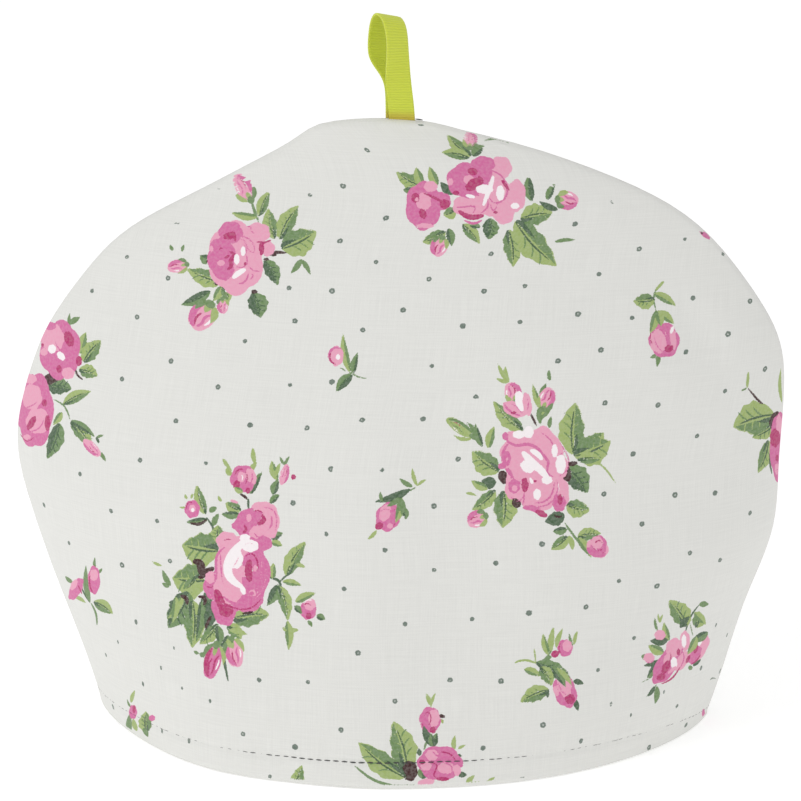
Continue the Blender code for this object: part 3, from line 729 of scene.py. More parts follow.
# The smaller posies are charted straight in the picture's pixels, y down: a leaf or a bud
# runs from its first point to its second, then come its width and its inks.
edgePosy = {
    "pixel": (62, 385),
    "stems": (
        (mid, 1.8, ((53, 399), (64, 406), (70, 420))), (mid, 1.4, ((69, 331), (70, 324), (70, 316))),
    ),
    "leaves": (
        (80, 354, 86, 332, 10, light), (83, 362, 101, 340, 17, light), (79, 369, 98, 376, 14, light),
        (46, 385, 72, 389, 18, mid), (50, 359, 53, 370, 7, mid), (63, 404, 91, 391, 12, light),
        (62, 412, 53, 425, 7, light), (60, 423, 47, 459, 16, mid), (69, 326, 70, 313, 3, mid),
        (70, 324, 80, 317, 6, mid), (71, 421, 92, 448, 14, light), (71, 420, 95, 437, 7, mid),
        (96, 438, 104, 435, 3, mid), (96, 437, 99, 444, 3, dark), (98, 451, 106, 462, 4, mid),
    ),
    "buds": ((83, 439, 100, 456, 11, pale, rose, None),),
    "petals": (
        (brown, 2.2, ((75, 367), (77, 374), (83, 380))), (brown, 50, 379, 7.5, 5.5, 20),
        (rose, 60, 350, 20, 29), (pale, 52, 337, 12, 15, 20), (rose, 50, 326, 6, 4),
        (deep, 69, 339, 4.5, 8, 20), (pale, 44, 352, 4, 4), (white, 52, 349, 4, 4.5),
        (white, 61, 356, 3.2, 5, 40), (pale, 68, 373, 6.5, 6), (deep, 79, 361, 3, 5),
        (rose, 1.4, ((55, 341), (60, 350), (66, 353), (72, 352))), (deep, 59, 369, 2.6, 4),
        (deep, 42.5, 345, 1.3, 1.6), (rose, 1.2, ((60, 364), (66, 366), (72, 364))),
        (rose, 35, 410, 18, 37), (pale, 32, 397, 10, 13), (pale, 30, 379, 7, 5),
        (rose, 1.2, ((24, 408), (31, 406), (37, 402))), (pale, 38, 421, 12, 13),
        (deep, 31.5, 423, 7.5, 3.2, 60), (deep, 47.5, 423, 2.8, 8), (deep, 44.5, 403, 2.6, 3.5),
        (rose, 1.4, ((24, 432), (33, 431), (40, 427), (44, 419))),
        (deep, 1.2, ((20, 434), (28, 441), (34, 437))), (pale, 27, 437, 4, 3),
    ),
}
rimPosy = {
    "pixel": (760, 430),
    "stems": (
        (brown, 2.4, ((748, 388), (759, 401), (771, 411))), (light, 3, ((747, 388), (748.5, 372))),
        (mid, 2, ((747, 388), (741, 391))),
    ),
    "leaves": (
        (775, 414, 733, 427, 33, light, -1), (776, 424, 752, 438, 14, light),
        (782, 403, 781, 368, 3.5, light), (769, 440, 758, 473, 13, light),
    ),
    "petals": (
        (brown, 774.5, 420, 4.5, 9, -20), (dark, 1.8, ((770, 452), (770, 463), (772, 474))),
        (rose, 779, 447, 9, 34), (pale, 779, 425, 3, 11), (deep, 775, 438, 5, 9),
        (deep, 777, 458, 1.5, 3.5), (pale, 777, 469, 2.5, 6),
    ),
}
budPosies = (
    {
        "pixel": (349, 362),
        "stems": ((mid, 1.6, ((350, 371), (356, 376), (367, 378))),),
        "leaves": (
            (350, 373, 343, 333, 8, light), (353, 374, 358, 352, 7, mid),
            (352, 374, 336, 392, 11, mid, -1),
        ),
        "petals": (
            (pale, 336, 356, 7.5, 10), (rose, 2.6, ((342, 349), (334, 348), (329, 356), (334, 365))),
            (deep, 2.0, ((331, 352), (330, 359), (336, 365))), (white, 338, 357, 2.2, 3),
            (mid, 1.6, ((339, 367), (346, 371))),
        ),
    },
    {
        "pixel": (660, 325),
        "stems": ((mid, 1.8, ((664, 281), (655, 292), (656, 311))), (light, 3, ((655, 291), (664, 281)))),
        "leaves": (
            (655, 300, 633, 301, 16, light), (654, 293, 676, 306, 9, light), (658, 353, 657, 367, 5, mid),
            (657, 354, 650, 358, 4, mid), (659, 354, 667, 357, 4, mid),
        ),
        "petals": (
            (rose, 664, 340, 15, 17.5, 10), (pale, 659, 341, 9, 12.5), (pale, 673, 338, 3.5, 12, 8),
            (rose, 1.8, ((655, 327), (662, 331), (667, 340), (667, 352))),
            (rose, 1.2, ((654, 337), (658, 347), (664, 353))), (deep, 669, 348.5, 4.5, 3.5, 20),
            (white, 672, 330, 1.5, 4, -20), (deep, 1.2, ((651, 331), (650, 338), (653, 345))),
        ),
        "sepals": (
            (657, 310, 650, 334, 9, light), (658, 311, 674, 324, 9, light),
            (658, 310, 661, 327, 9, light),
        ),
    },
    {
        "pixel": (395, 505),
        "stems": ((mid, 1.8, ((417, 487), (408, 492), (400, 500))),),
        "leaves": (
            (411, 489, 374, 502, 8, dark), (413, 487, 399, 478, 5, mid), (417, 486, 412, 467, 4, light),
            (417, 486, 427, 479, 3, light), (383, 503, 380, 491, 4, mid), (377, 530, 367, 540, 4, light),
            (404, 507, 406, 520, 7, mid),
        ),
        "petals": (
            (rose, 388, 517, 12, 14.5, -20), (pale, 385, 513, 6, 9, -20), (deep, 379, 526, 4.5, 3.5, 20),
            (rose, 1.2, ((380, 512), (386, 509), (392, 514), (391, 524))),
            (deep, 1.2, ((394, 509), (397, 518), (393, 527))), (pale, 390, 526, 3.5, 3),
        ),
        "sepals": (
            (402, 497, 395, 524, 9, light), (400, 497, 386, 507, 6, mid), (402, 499, 402, 516, 6, mid),
        ),
    },
    {
        "pixel": (550, 668),
        "stems": (
            (light, 2.6, ((514, 663), (524, 660), (537, 664))), (light, 1.8, ((534, 648), (536, 663))),
            (mid, 2, ((537, 664), (546, 658), (552, 650))),
        ),
        "leaves": (
            (549, 656, 543, 633, 7, light), (551, 652, 554, 626, 6, light),
            (556, 648, 563, 628, 5, light), (573, 646, 569, 633, 3, mid), (574, 645, 578, 630, 4, light),
            (524, 669, 541, 676, 8, light), (549, 689, 520, 702, 16, light, -1),
            (536, 662, 573, 682, 15, mid), (541, 666, 552, 686, 14, light), (573, 681, 584, 684, 6, dark),
            (573, 698, 578, 711, 6, dark), (546, 690, 548, 698, 4, dark),
        ),
        "petals": (
            (rose, 565, 648, 7.5, 8.5), (pale, 567, 646, 5, 6), (deep, 555, 654, 4, 3.5, 20),
            (deep, 1.2, ((561, 643), (559, 650), (563, 655))), (rose, 565, 691, 11, 17, 18),
            (pale, 564, 686, 7, 12, 18), (deep, 570, 699, 5, 5),
            (rose, 1.4, ((558, 683), (563, 692), (569, 696))), (pale, 556, 691, 2.5, 6, 20),
        ),
        "sepals": (
            (546, 660, 552, 656, 4, mid), (552, 667, 566, 688, 9, mid), (556, 667, 573, 687, 6, light),
        ),
    },
    {
        "pixel": (92, 592),
        "stems": (
            (mid, 2, ((91, 603), (96, 614), (97, 625))), (dark, 1.6, ((79, 581), (84, 593), (90, 603))),
        ),
        "leaves": (
            (90, 603, 86, 565, 6, mid), (94, 601, 113, 614, 12, light), (73, 583, 65, 576, 4, mid),
            (74, 596, 86, 603, 4, light), (95, 570, 95, 557, 3, mid), (98, 574, 103, 568, 3, mid),
        ),
        "petals": (
            (rose, 94, 580, 6, 14), (pale, 94, 575, 4.5, 6),
            (deep, 1.6, ((90, 575), (90, 586), (93, 593))), (rose, 76, 589, 5.5, 12, -28),
            (pale, 74, 585, 3, 6, -28), (deep, 1.4, ((78, 585), (82, 594))),
        ),
    },
    {
        "pixel": (140, 715),
        "leaves": (
            (131, 703, 135, 690, 4, light), (130, 734, 130, 713, 6, mid), (146, 733, 146, 711, 13, light),
            (137, 731, 133, 718, 5, light), (131, 708, 127, 699, 2, mid), (143, 728, 148, 737, 5, mid),
        ),
        "petals": ((rose, 133, 712, 4, 7), (deep, 134, 709, 1.6, 4), (rose, 152, 718, 3.2, 3)),
    },
    {
        "pixel": (678, 650),
        "stems": (
            (dark, 1.8, ((685, 634), (688, 623), (691, 616), (699, 605))),
            (mid, 1.2, ((690, 623), (691, 628), (693, 636))), (mid, 1.2, ((655, 618), (658, 631))),
            (mid, 1.0, ((640, 683), (650, 678), (656, 672))),
            (mid, 1.4, ((657, 684), (651, 692), (646, 697))),
        ),
        "leaves": (
            (688, 626, 669, 600, 20, light, -1), (680, 628, 690, 616, 6, dark),
            (697, 628, 699, 611, 13, light, -1), (699, 605, 709, 604, 6, mid),
            (694, 612, 706, 625, 8, light), (669, 641, 664, 622, 7, light),
            (660, 623, 658, 613, 2.4, light), (660, 623, 663, 614, 2.4, light),
            (657, 631, 654.5, 617, 2.4, mid), (664, 653, 648, 645, 10, light),
            (658, 663, 647, 678, 8, mid), (657, 686, 655, 704, 6, mid), (655, 686, 647, 697, 4, dark),
            (688, 668, 693, 668, 5, mid), (693, 666, 701, 659, 5, dark), (668, 640, 650, 641, 9, dark),
            (660, 660, 643, 666, 5, dark), (647, 657, 641, 656, 6, mid),
        ),
        "petals": (
            (rose, 668, 663, 10, 24, -34), (pale, 674, 648, 8, 10, -20), (pale, 669, 656, 3.5, 9, -36),
            (pale, 685, 641, 5, 10), (white, 684, 641, 2.4, 6.5), (pale, 682, 661, 5.5, 11, -34),
            (white, 674, 663, 3.2, 6), (deep, 1, ((668, 650), (671, 656), (668, 663))),
            (rose, 1.2, ((681, 648), (684, 656), (680, 668))), (deep, 666, 667, 3.5, 7, -28),
            (deep, 678.5, 652, 1.8, 3.4), (deep, 661, 677, 4.5, 3.2, 20), (pale, 672, 670, 1.8, 6, -48),
            (deep, 1.8, ((661, 684), (671, 679), (680, 667))), (pale, 699, 649, 7, 16, -32),
            (rose, 695, 655, 4.5, 10, -32), (deep, 696, 648, 2, 5.5, -15), (white, 700, 642, 1.8, 4, -20),
            (deep, 1.4, ((690, 665), (696, 661), (701, 654))), (deep, 688, 659, 1.5, 4.5, -25),
            (pale, 660, 635, 5.5, 5), (pale, 649, 658, 5.5, 5),
            (rose, 1.2, ((645, 660), (649, 663), (654, 660))),
        ),
        "sepals": ((708, 632, 691, 642, 9, mid), (697, 636, 687, 655, 8, light)),
    },
    {
        "pixel": (420, 755),
        "stems": (
            (mid, 3, ((355, 766), (374, 780), (395, 786), (414, 789))),
            (mid, 2.2, ((427, 740), (424, 750))), (light, 2, ((431, 708), (430, 700), (427, 694))),
        ),
        "leaves": (
            (404, 774, 364, 744, 15, mid), (405, 778, 358, 742, 23, light),
            (408, 772, 393, 721, 26, light, -1), (420, 756, 419, 748, 5, dark),
            (422, 779, 425, 766, 11, mid), (454, 751, 455, 735, 5, light), (458, 749, 466, 745, 3, light),
            (458, 775, 467, 775, 6, dark), (466, 785, 475, 775, 5, light), (470, 784, 479, 785, 3, light),
            (486, 785, 495, 777, 4, light), (431, 706, 426, 693, 3, light),
            (431, 706, 436, 692, 3, light), (438, 716, 446, 717, 4, brown),
            (441, 719, 443, 724, 3, light), (457, 756, 462, 756, 4, dark),
        ),
        "petals": (
            (brown, 410, 771, 7.5, 10), (dark, 3, ((398, 762), (402, 770), (407, 779))),
            (pale, 426, 782.5, 8.5, 4, 10), (rose, 430, 720, 10.5, 13), (pale, 434, 718, 6, 9),
            (deep, 1.4, ((424, 716), (428, 712), (431, 718), (428, 726))), (deep, 433, 730, 3, 3.5),
            (deep, 1.2, ((421, 721), (424, 727), (430, 731))), (rose, 440, 763, 22, 17),
            (pale, 432, 755, 7, 6), (pale, 446, 768, 9, 6), (rose, 446, 752, 7, 5),
            (pale, 426, 766, 6, 5), (deep, 1.6, ((430, 762), (437, 766), (434, 775), (440, 780))),
            (deep, 1.6, ((440, 752), (450, 754), (456, 761))), (deep, 443, 779, 6, 2),
            (rose, 1.6, ((432, 751), (438, 756), (447, 757))), (pale, 457, 770, 4, 6),
            (deep, 422, 762, 3, 2.4), (rose, 1.4, ((444, 763), (451, 766), (452, 774))),
        ),
        "sepals": (
            (433, 747, 423, 724, 8, dark), (433, 747, 437, 733, 8, mid), (433, 747, 431, 733, 7, mid),
        ),
    },
    {
        "pixel": (300, 775),
        "leaves": ((296, 792, 302, 765, 13, light),),
    },
    {
        "pixel": (705, 235),
        "petals": ((rose, 705, 235, 6.5, 2.2, -38), (brown, 702, 233, 1.2, 1.2)),
    },
    {
        "pixel": (700, 700),
        "petals": ((rose, 703.5, 714, 1.5, 5), (dark, 1.2, ((710, 680), (713, 678), (716, 679)))),
    },
)

# small dots between the sprays, by the pixel that each shows at, and how narrow it is there
dotPixels = (
    (421, 125), (219, 190), (280, 155), (367, 150), (343, 186), (310, 195), (386, 218), (340, 241),
    (376, 262), (332, 291), (289, 288), (177, 223), (127, 257), (168, 278), (92, 291), (137, 317),
    (171, 361), (122, 379), (245, 341), (218, 387), (290, 385), (332, 382), (363, 330), (295, 321),
    (176, 421), (250, 425), (307, 428), (362, 420), (331, 469), (382, 470), (80, 474), (140, 460),
    (206, 463), (429, 279), (484, 291), (525, 286), (491, 254), (575, 224), (612, 202), (639, 249),
    (685, 239), (599, 274), (723, 254), (693, 298), (750, 301), (578, 314), (520, 322), (463, 326),
    (403, 310), (632, 318), (728, 334), (601, 350), (558, 361), (432, 366), (686, 352), (765, 369),
    (476, 397), (605, 403), (658, 405), (725, 391), (423, 419), (697, 436), (633, 454), (458, 459),
    (434, 506), (604, 494), (675, 495), (715, 493), (750, 513), (642, 524), (542, 544), (496, 563),
    (434, 570), (690, 553), (720, 560), (619, 581), (657, 586), (586, 607), (529, 613), (472, 619),
    (405, 624), (716, 625, 0.6), (634, 638), (727, 635, 0.6), (598, 670), (701, 668, 0.7), (720, 671),
    (450, 680), (501, 681), (611, 704, 0.45), (664, 692, 0.6), (677, 706), (631, 715, 0.5), (543, 725),
    (686, 725), (581, 741, 0.8), (483, 748), (649, 747), (522, 779), (44, 505), (111, 511), (157, 521),
    (69, 543), (293, 503), (326, 534), (385, 550), (170, 561), (122, 565), (344, 589), (136, 622, 0.7),
    (118, 642, 0.5), (106, 655, 0.6), (174, 648, 0.5), (161, 668, 0.6), (143, 684, 0.6), (182, 688, 0.6),
    (210, 701, 0.7), (113, 707), (259, 680), (308, 682), (358, 653), (395, 701), (341, 730), (243, 734),
    (295, 747), (162, 731, 0.6), (189, 741, 0.7), (270, 777, 0.6), (72, 613, 0.5),
)


def sprayShapes(spray):
    shapes = drawPetals(spray.get("stems", ()))
    for leaf in spray.get("leaves", ()):
        shapes += drawLeaf(*leaf)
    for bud in spray.get("buds", ()):
        shapes += drawBud(*bud)
    shapes += drawPetals(spray.get("petals", ()))
    for leaf in spray.get("sepals", ()):
        shapes += drawLeaf(*leaf)
    return shapes


def inMillimetres(posy):
    # the same chart with its pixels turned to millimetres round the posy's middle
    scale = cameraSetup["metresPerPixel"] * 1000
    middleX, middleY = posy["pixel"]

    def spot(x, y):
        return (x - middleX) * scale, (middleY - y) * scale

    def petal(row):
        if len(row) == 3:
            return row[0], row[1] * scale, tuple(spot(*point) for point in row[2])
        return (row[0], *spot(row[1], row[2]), row[3] * scale, row[4] * scale, *row[5:])

    def leaf(row):
        base, tip = spot(row[0], row[1]), spot(row[2], row[3])
        away = (tip[0] - base[0], tip[1] - base[1])
        direction = math.degrees(math.atan2(away[1], away[0]))
        return (*base, direction, math.hypot(*away), row[4] * scale, *row[5:])

    charted = {"pixel": posy["pixel"]}
    for kind in ("stems", "petals"):
        charted[kind] = [petal(row) for row in posy.get(kind, ())]
    for kind in ("leaves", "buds", "sepals"):
        charted[kind] = [leaf(row) for row in posy.get(kind, ())]
    return charted


def clothUnder(pixels, panel):
    # the angle and height on a panel that show at these pixels, seen from its own front
    def seen(angle, height):
        point = outerPoint(angle, height, panel)[0]
        return photoPixel(point * [-panel["facing"], -panel["facing"], 1.0])

    angles, heights = np.meshgrid(np.radians(np.linspace(-84, 84, 57)), np.linspace(0.004, 0.2372, 59))
    angles, heights = angles.ravel(), heights.ravel()
    tree = kdtree.KDTree(len(angles))
    spots = seen(angles, heights)
    for i, spot in enumerate(spots):
        tree.insert((spot[0], spot[1], 0.0), i)
    tree.balance()
    found = np.array([tree.find((pixel[0], pixel[1], 0.0))[1] for pixel in pixels])
    angle, height = angles[found], heights[found]
    turnStep, riseStep, leastSpread = 0.002, 0.0004, 3e4
    for _ in range(7):
        here = seen(angle, height)
        acrossStep = (seen(angle + turnStep, height) - here) / turnStep
        upStep = (seen(angle, height + riseStep) - here) / riseStep
        miss = pixels - here
        spread = acrossStep[:, 0] * upStep[:, 1] - acrossStep[:, 1] * upStep[:, 0]
        spread = np.where(np.abs(spread) < leastSpread, np.sign(spread) * leastSpread, spread)
        angleMiss = (miss[:, 0] * upStep[:, 1] - miss[:, 1] * upStep[:, 0]) / spread
        heightMiss = (acrossStep[:, 0] * miss[:, 1] - acrossStep[:, 1] * miss[:, 0]) / spread
        angle = angle + np.clip(angleMiss, -0.08, 0.08)
        height = height + np.clip(heightMiss, -0.006, 0.006)
        angle, height = np.clip(angle, -1.565, 1.565), np.clip(height, 0.0012, 0.2388)
    return angle, height


def layOnCloth(shapes, pixel, panel, turn=0.0):
    # carries shapes charted in millimetres round a pixel onto the flat cloth
    perPixel = cameraSetup["metresPerPixel"] * 1000
    counts = [len(outline) for _, outline in shapes]
    charted = turned(np.concatenate([outline for _, outline in shapes]), 0.0, 0.0, turn)
    pixels = np.array(pixel) + charted * [1 / perPixel, -1 / perPixel]
    places = clothPlace(*clothUnder(pixels, panel))
    laid, first = [], 0
    for (ink, _), count in zip(shapes, counts):
        laid.append((ink, places[first:first + count]))
        first += count
    return laid


def dotShapes(pixels, panel, chance):
    # dots are round on the cloth itself, so each is drawn with the cloth's own lengths
    angle, height = clothUnder(np.array([pixel[:2] for pixel in pixels], float), panel)
    middle = clothPlace(angle, height)
    step = 0.0008
    here = outerPoint(angle, height, panel)[0]
    acrossLength = np.linalg.norm(outerPoint(angle + step, height, panel)[0] - here, axis=1)
    upLength = np.linalg.norm(outerPoint(angle, height + step, panel)[0] - here, axis=1)
    acrossScale = np.abs(clothPlace(angle + step, height) - middle)[:, 0] / acrossLength
    upScale = (clothPlace(angle, height + step) - middle)[:, 1] / upLength
    laid = []
    for i in range(len(middle)):
        size = chance.uniform(*printDetail["dotRadius"])
        narrow = pixels[i][2] if len(pixels[i]) > 2 else 1.0
        scale = np.array([acrossScale[i] * narrow, upScale[i]])
        dot = blobOutline(0, 0, size, size * printDetail["dotFlatness"], 0, 5, 0.10, i)
        laid.append(("dotGreen", middle[i] + dot * scale))
        if chance.random() < printDetail["bareChance"]:
            bareSize = size * printDetail["bareShare"]
            laid.append(("bare", middle[i] + blobOutline(0, 0, bareSize, bareSize) * scale))
    return laid


def backDots(repeats):
    # the same loose lattice of dots, kept clear of the sprays; all lengths are pixels
    dots, sprayRoom, posyRoom = [], 72, 34
    firstX, firstY, stepX, stepY, wander = 60, 160, 52, 46, 7
    for row in range(14):
        for column in range(15):
            x = firstX + stepX * (column + row % 2 / 2) + wander * math.sin(3.1 * row + 5.3 * column)
            y = firstY + stepY * row + wander * math.cos(4.7 * row + 2.9 * column)
            inPicture = ((x - 400) / 375) ** 2 + ((y - 440) / 330) ** 4 < 1
            rooms = [sprayRoom if len(spray["leaves"]) > 12 else posyRoom for spray, _, _ in repeats]
            clear = all(math.hypot(x - at[0], y - at[1]) > room for (_, at, _), room in zip(repeats, rooms))
            if inPicture and clear:
                dots.append((x, y))
    return dots


def depthInside(points, outline):
    # how far each point lies inside the outline, negative outside it
    start, end = outline, np.roll(outline, -1, axis=0)
    along = end - start
    offset = points[:, None] - start[None]
    share = np.clip((offset * along).sum(2) / np.maximum((along**2).sum(1), 1e-16), 0, 1)
    away = offset - share[..., None] * along
    distance = np.sqrt((away**2).sum(2).min(1))
    leftOf = along[:, 0] * offset[..., 1] - along[:, 1] * offset[..., 0]
    upward = (start[:, 1] <= points[:, 1:]) & (end[:, 1] > points[:, 1:]) & (leftOf > 0)
    downward = (start[:, 1] > points[:, 1:]) & (end[:, 1] <= points[:, 1:]) & (leftOf < 0)
    inside = upward.sum(1) - downward.sum(1) != 0
    return np.where(inside, distance, -distance)


def inkDepths(places, shapes):
    # later shapes cover earlier ones, as inks laid one over the other
    depths = {ink: np.full(len(places), printDetail["farInk"]) for ink in inkNames}
    margin = printDetail["margin"]
    for ink, outline in shapes:
        low, high = outline.min(0) - margin, outline.max(0) + margin
        near = np.nonzero(((places > low) & (places < high)).all(1))[0]
        if not len(near):
            continue
        inside = depthInside(places[near], outline)
        for other in inkNames:
            if other != ink:
                depths[other][near] = np.minimum(depths[other][near], printDetail["overlap"] - inside)
        if ink in depths:
            depths[ink][near] = np.maximum(depths[ink][near], inside)
    return depths


def outlineTree(shapes):
    spots = np.zeros((0, 2))
    for _, outline in shapes:
        near = np.nonzero(((spots > outline.min(0)) & (spots < outline.max(0))).all(1))[0]
        if len(near):
            covered = near[depthInside(spots[near], outline) > printDetail["hidden"]]
            spots = np.delete(spots, covered, axis=0)
        added = []
        for start, end in zip(outline, np.roll(outline, -1, axis=0)):
            pieces = int(np.linalg.norm(end - start) / printDetail["outlineStep"]) + 1
            added += [start + (end - start) * i / pieces for i in range(pieces)]
        spots = np.concatenate([spots, added])
    tree = kdtree.KDTree(len(spots))
    for i, spot in enumerate(spots):
        tree.insert((spot[0], spot[1], 0.0), i)
    tree.balance()
    return tree


# The mesh of a panel.


def easeToCrown(share):
    # even steps that grow shorter over the last tenth
    return np.where(share < 0.9, share / 0.95, 1 - (1 - share) ** 2 / 0.19)


def runAtRow(share):
    # the grid's rows: up inside the hem, round its fold, and up the printed face
    turnRows, foldRows, faceRows = (panelShape[name] for name in ("turnRows", "foldRows", "faceRows"))
    row = share * (turnRows + foldRows + faceRows)
    face = np.clip((row - turnRows - foldRows) / faceRows, 0, 1)
    hemRun, hemShare = panelShape["hemRun"], panelShape["hemShare"]
    crown = np.clip((face - hemShare) / (1 - hemShare), 0, 1)
    stops = (-panelShape["hemTurn"] - foldLength, -foldLength, 0.0)
    low = np.interp(row, (0, turnRows, turnRows + foldRows), stops)
    return low + np.minimum(face / hemShare, 1) * hemRun + easeToCrown(crown) * (panelRun - hemRun)


def flatPlace(grid):
    # the angle, the run and the place on the flat cloth of points of the unit grid
    angle, run = grid[:, 0] * np.pi / 2, runAtRow((grid[:, 1] + 1) / 2)
    places = clothPlace(angle, np.interp(run, runSteps, heightSteps))
    places[:, 1] = np.where(run < 0, run, places[:, 1])
    return angle, run, places


def refineNearInk(bm, shapes):
    tree = outlineTree(shapes)
    for reach in printDetail["reaches"]:
        places = flatPlace(np.array([(v.co.x, v.co.y) for v in bm.verts]))[2]
        bm.verts.index_update()
        near = [tree.find((place[0], place[1], 0.0))[2] < reach for place in places]
        inner = [e for e in bm.edges if not e.is_boundary]
        edges = [e for e in inner if near[e.verts[0].index] and near[e.verts[1].index]]
        bmesh.ops.subdivide_edges(bm, edges=edges, cuts=1, use_grid_fill=True)
    bmesh.ops.triangulate(bm, faces=[f for f in bm.faces if len(f.verts) > 4])


def pieceFrom(name, bm, materials):
    mesh = bpy.data.meshes.new(name)
    bm.to_mesh(mesh)
    bm.free()
    mesh.shade_smooth()
    for material in materials:
        mesh.materials.append(material)
    piece = bpy.data.objects.new(name, mesh)
    bpy.context.scene.collection.objects.link(piece)
    return piece


def makePanel(name, node, panel, shapes, materials):
    bm = bmesh.new()
    columns, faceRows = panelShape["columns"], panelShape["faceRows"]
    rows = panelShape["turnRows"] + panelShape["foldRows"] + faceRows
    bmesh.ops.create_grid(bm, x_segments=columns, y_segments=rows, size=1.0)
    refineNearInk(bm, shapes)
    angle, run, places = flatPlace(np.array([(v.co.x, v.co.y) for v in bm.verts]))
    points = shellPoint(angle, run, panel)
    depths = inkDepths(places, shapes)
    layers = [bm.verts.layers.float_vector.new("inks" + str(i + 1)) for i in range(3)]
    weave = bm.verts.layers.float_vector.new("clothPlace")
    values = np.stack([depths[ink] for ink in inkNames], -1) * 1000
    bm.verts.ensure_lookup_table()
    for i, vertex in enumerate(bm.verts):
        vertex.co = points[i]
        vertex[weave] = (places[i, 0], places[i, 1], 0.0)
        for j, layer in enumerate(layers):
            vertex[layer] = values[i, 3 * j:3 * j + 3]

    # the lining starts where the hem's turning ends, and meets the face at the crown
    lining = bmesh.ops.create_grid(bm, x_segments=columns, y_segments=faceRows, size=1.0)["verts"]
    grid = np.array([(v.co.x, v.co.y) for v in lining])
    liningRun = np.interp(panelShape["hemTurn"] + panelShape["hemFoot"], heightSteps, runSteps)
    share = easeToCrown((grid[:, 1] + 1) / 2)
    angle, run = grid[:, 0] * np.pi / 2, liningRun + share * (panelRun - liningRun)
    points = liningPoint(angle, run, panel)
    for i, vertex in enumerate(lining):
        vertex.co = points[i]
        vertex[weave] = (angle[i] * panelShape["hemRadius"], run[i], 0.0)
        for layer in layers:
            vertex[layer] = (-3, -3, -3)
    for face in {face for vertex in lining for face in vertex.link_faces}:
        face.material_index = 1
    bmesh.ops.remove_doubles(bm, verts=bm.verts, dist=1.5e-5)
    open_ = [e for e in bm.edges if e.is_boundary]
    filled = bmesh.ops.holes_fill(bm, edges=open_, sides=0)["faces"]
    bmesh.ops.triangulate(bm, faces=filled)
    bmesh.ops.recalc_face_normals(bm, faces=bm.faces)
    triangles, openEdges = sum(len(f.verts) - 2 for f in bm.faces), sum(e.is_boundary for e in bm.edges)
    print(name, "triangles", triangles, "open edges", openEdges)
    piece = pieceFrom(name, bm, materials)
    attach(piece, "root")
    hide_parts(node)
    return piece


# Materials.


def linear(colour):
    # a colour as the eye names it, 0 to 255, as the shaders count it
    parts = [c / 255 for c in colour]
    return tuple(c / 12.92 if c <= 0.04045 else ((c + 0.055) / 1.055) ** 2.4 for c in parts)


weaveSetup = {"pitch": 0.00046, "bumpStrength": 0.5, "bumpDistance": 0.00006, "tint": 0.035}
cottonSetup = {
    "printedGround": (222, 222, 218), "liningGround": (232, 228, 216),
    "roughness": 0.88, "specular": 0.25, "sheen": 0.12, "sheenRoughness": 0.5,
    "wrinkleScale": 55.0, "wrinkleDetail": 3.0, "wrinkleRoughness": 0.45,
    "wrinkleStrength": 0.35, "wrinkleDistance": 0.0012,
    "waverScale": 1500.0, "mottleScale": 900.0, "thinnestInk": 0.88,
}


def startMaterial(name, roughness):
    material = bpy.data.materials.new(name)
    material.use_nodes = True
    nodes, links = material.node_tree.nodes, material.node_tree.links
    shader = nodes["Principled BSDF"]
    shader.inputs["Roughness"].default_value = roughness
    return material, nodes, links, shader


def noiseOf(nodes, links, place, scale, detail=2.0, roughness=0.5):
    noise = nodes.new("ShaderNodeTexNoise")
    for name, value in (("Scale", scale), ("Detail", detail), ("Roughness", roughness)):
        noise.inputs[name].default_value = value
    links.new(place, noise.inputs["Vector"])
    return noise.outputs["Fac"]


def bumpOf(nodes, links, height, strength, distance):
    bump = nodes.new("ShaderNodeBump")
    bump.inputs["Strength"].default_value = strength
    bump.inputs["Distance"].default_value = distance
    links.new(height, bump.inputs["Height"])
    return bump


def rangeOf(nodes, links, value, fromRange, toRange=(0.0, 1.0), smooth=False):
    node = nodes.new("ShaderNodeMapRange")
    node.interpolation_type = "SMOOTHSTEP" if smooth else "LINEAR"
    for name, limit in zip(("From Min", "From Max", "To Min", "To Max"), (*fromRange, *toRange)):
        node.inputs[name].default_value = limit
    links.new(value, node.inputs["Value"])
    return node


def blendOf(nodes, links, factor, first, second):
    # one colour turning to another; the first may be a socket
    mix = nodes.new("ShaderNodeMix")
    mix.data_type = "RGBA"
    links.new(factor, mix.inputs["Factor"])
    if isinstance(first, tuple):
        mix.inputs["A"].default_value = (*first, 1.0)
    else:
        links.new(first, mix.inputs["A"])
    mix.inputs["B"].default_value = (*second, 1.0)
    return mix.outputs["Result"]


def tinted(colour, factor):
    return tuple(min(1.0, c * factor) for c in colour)


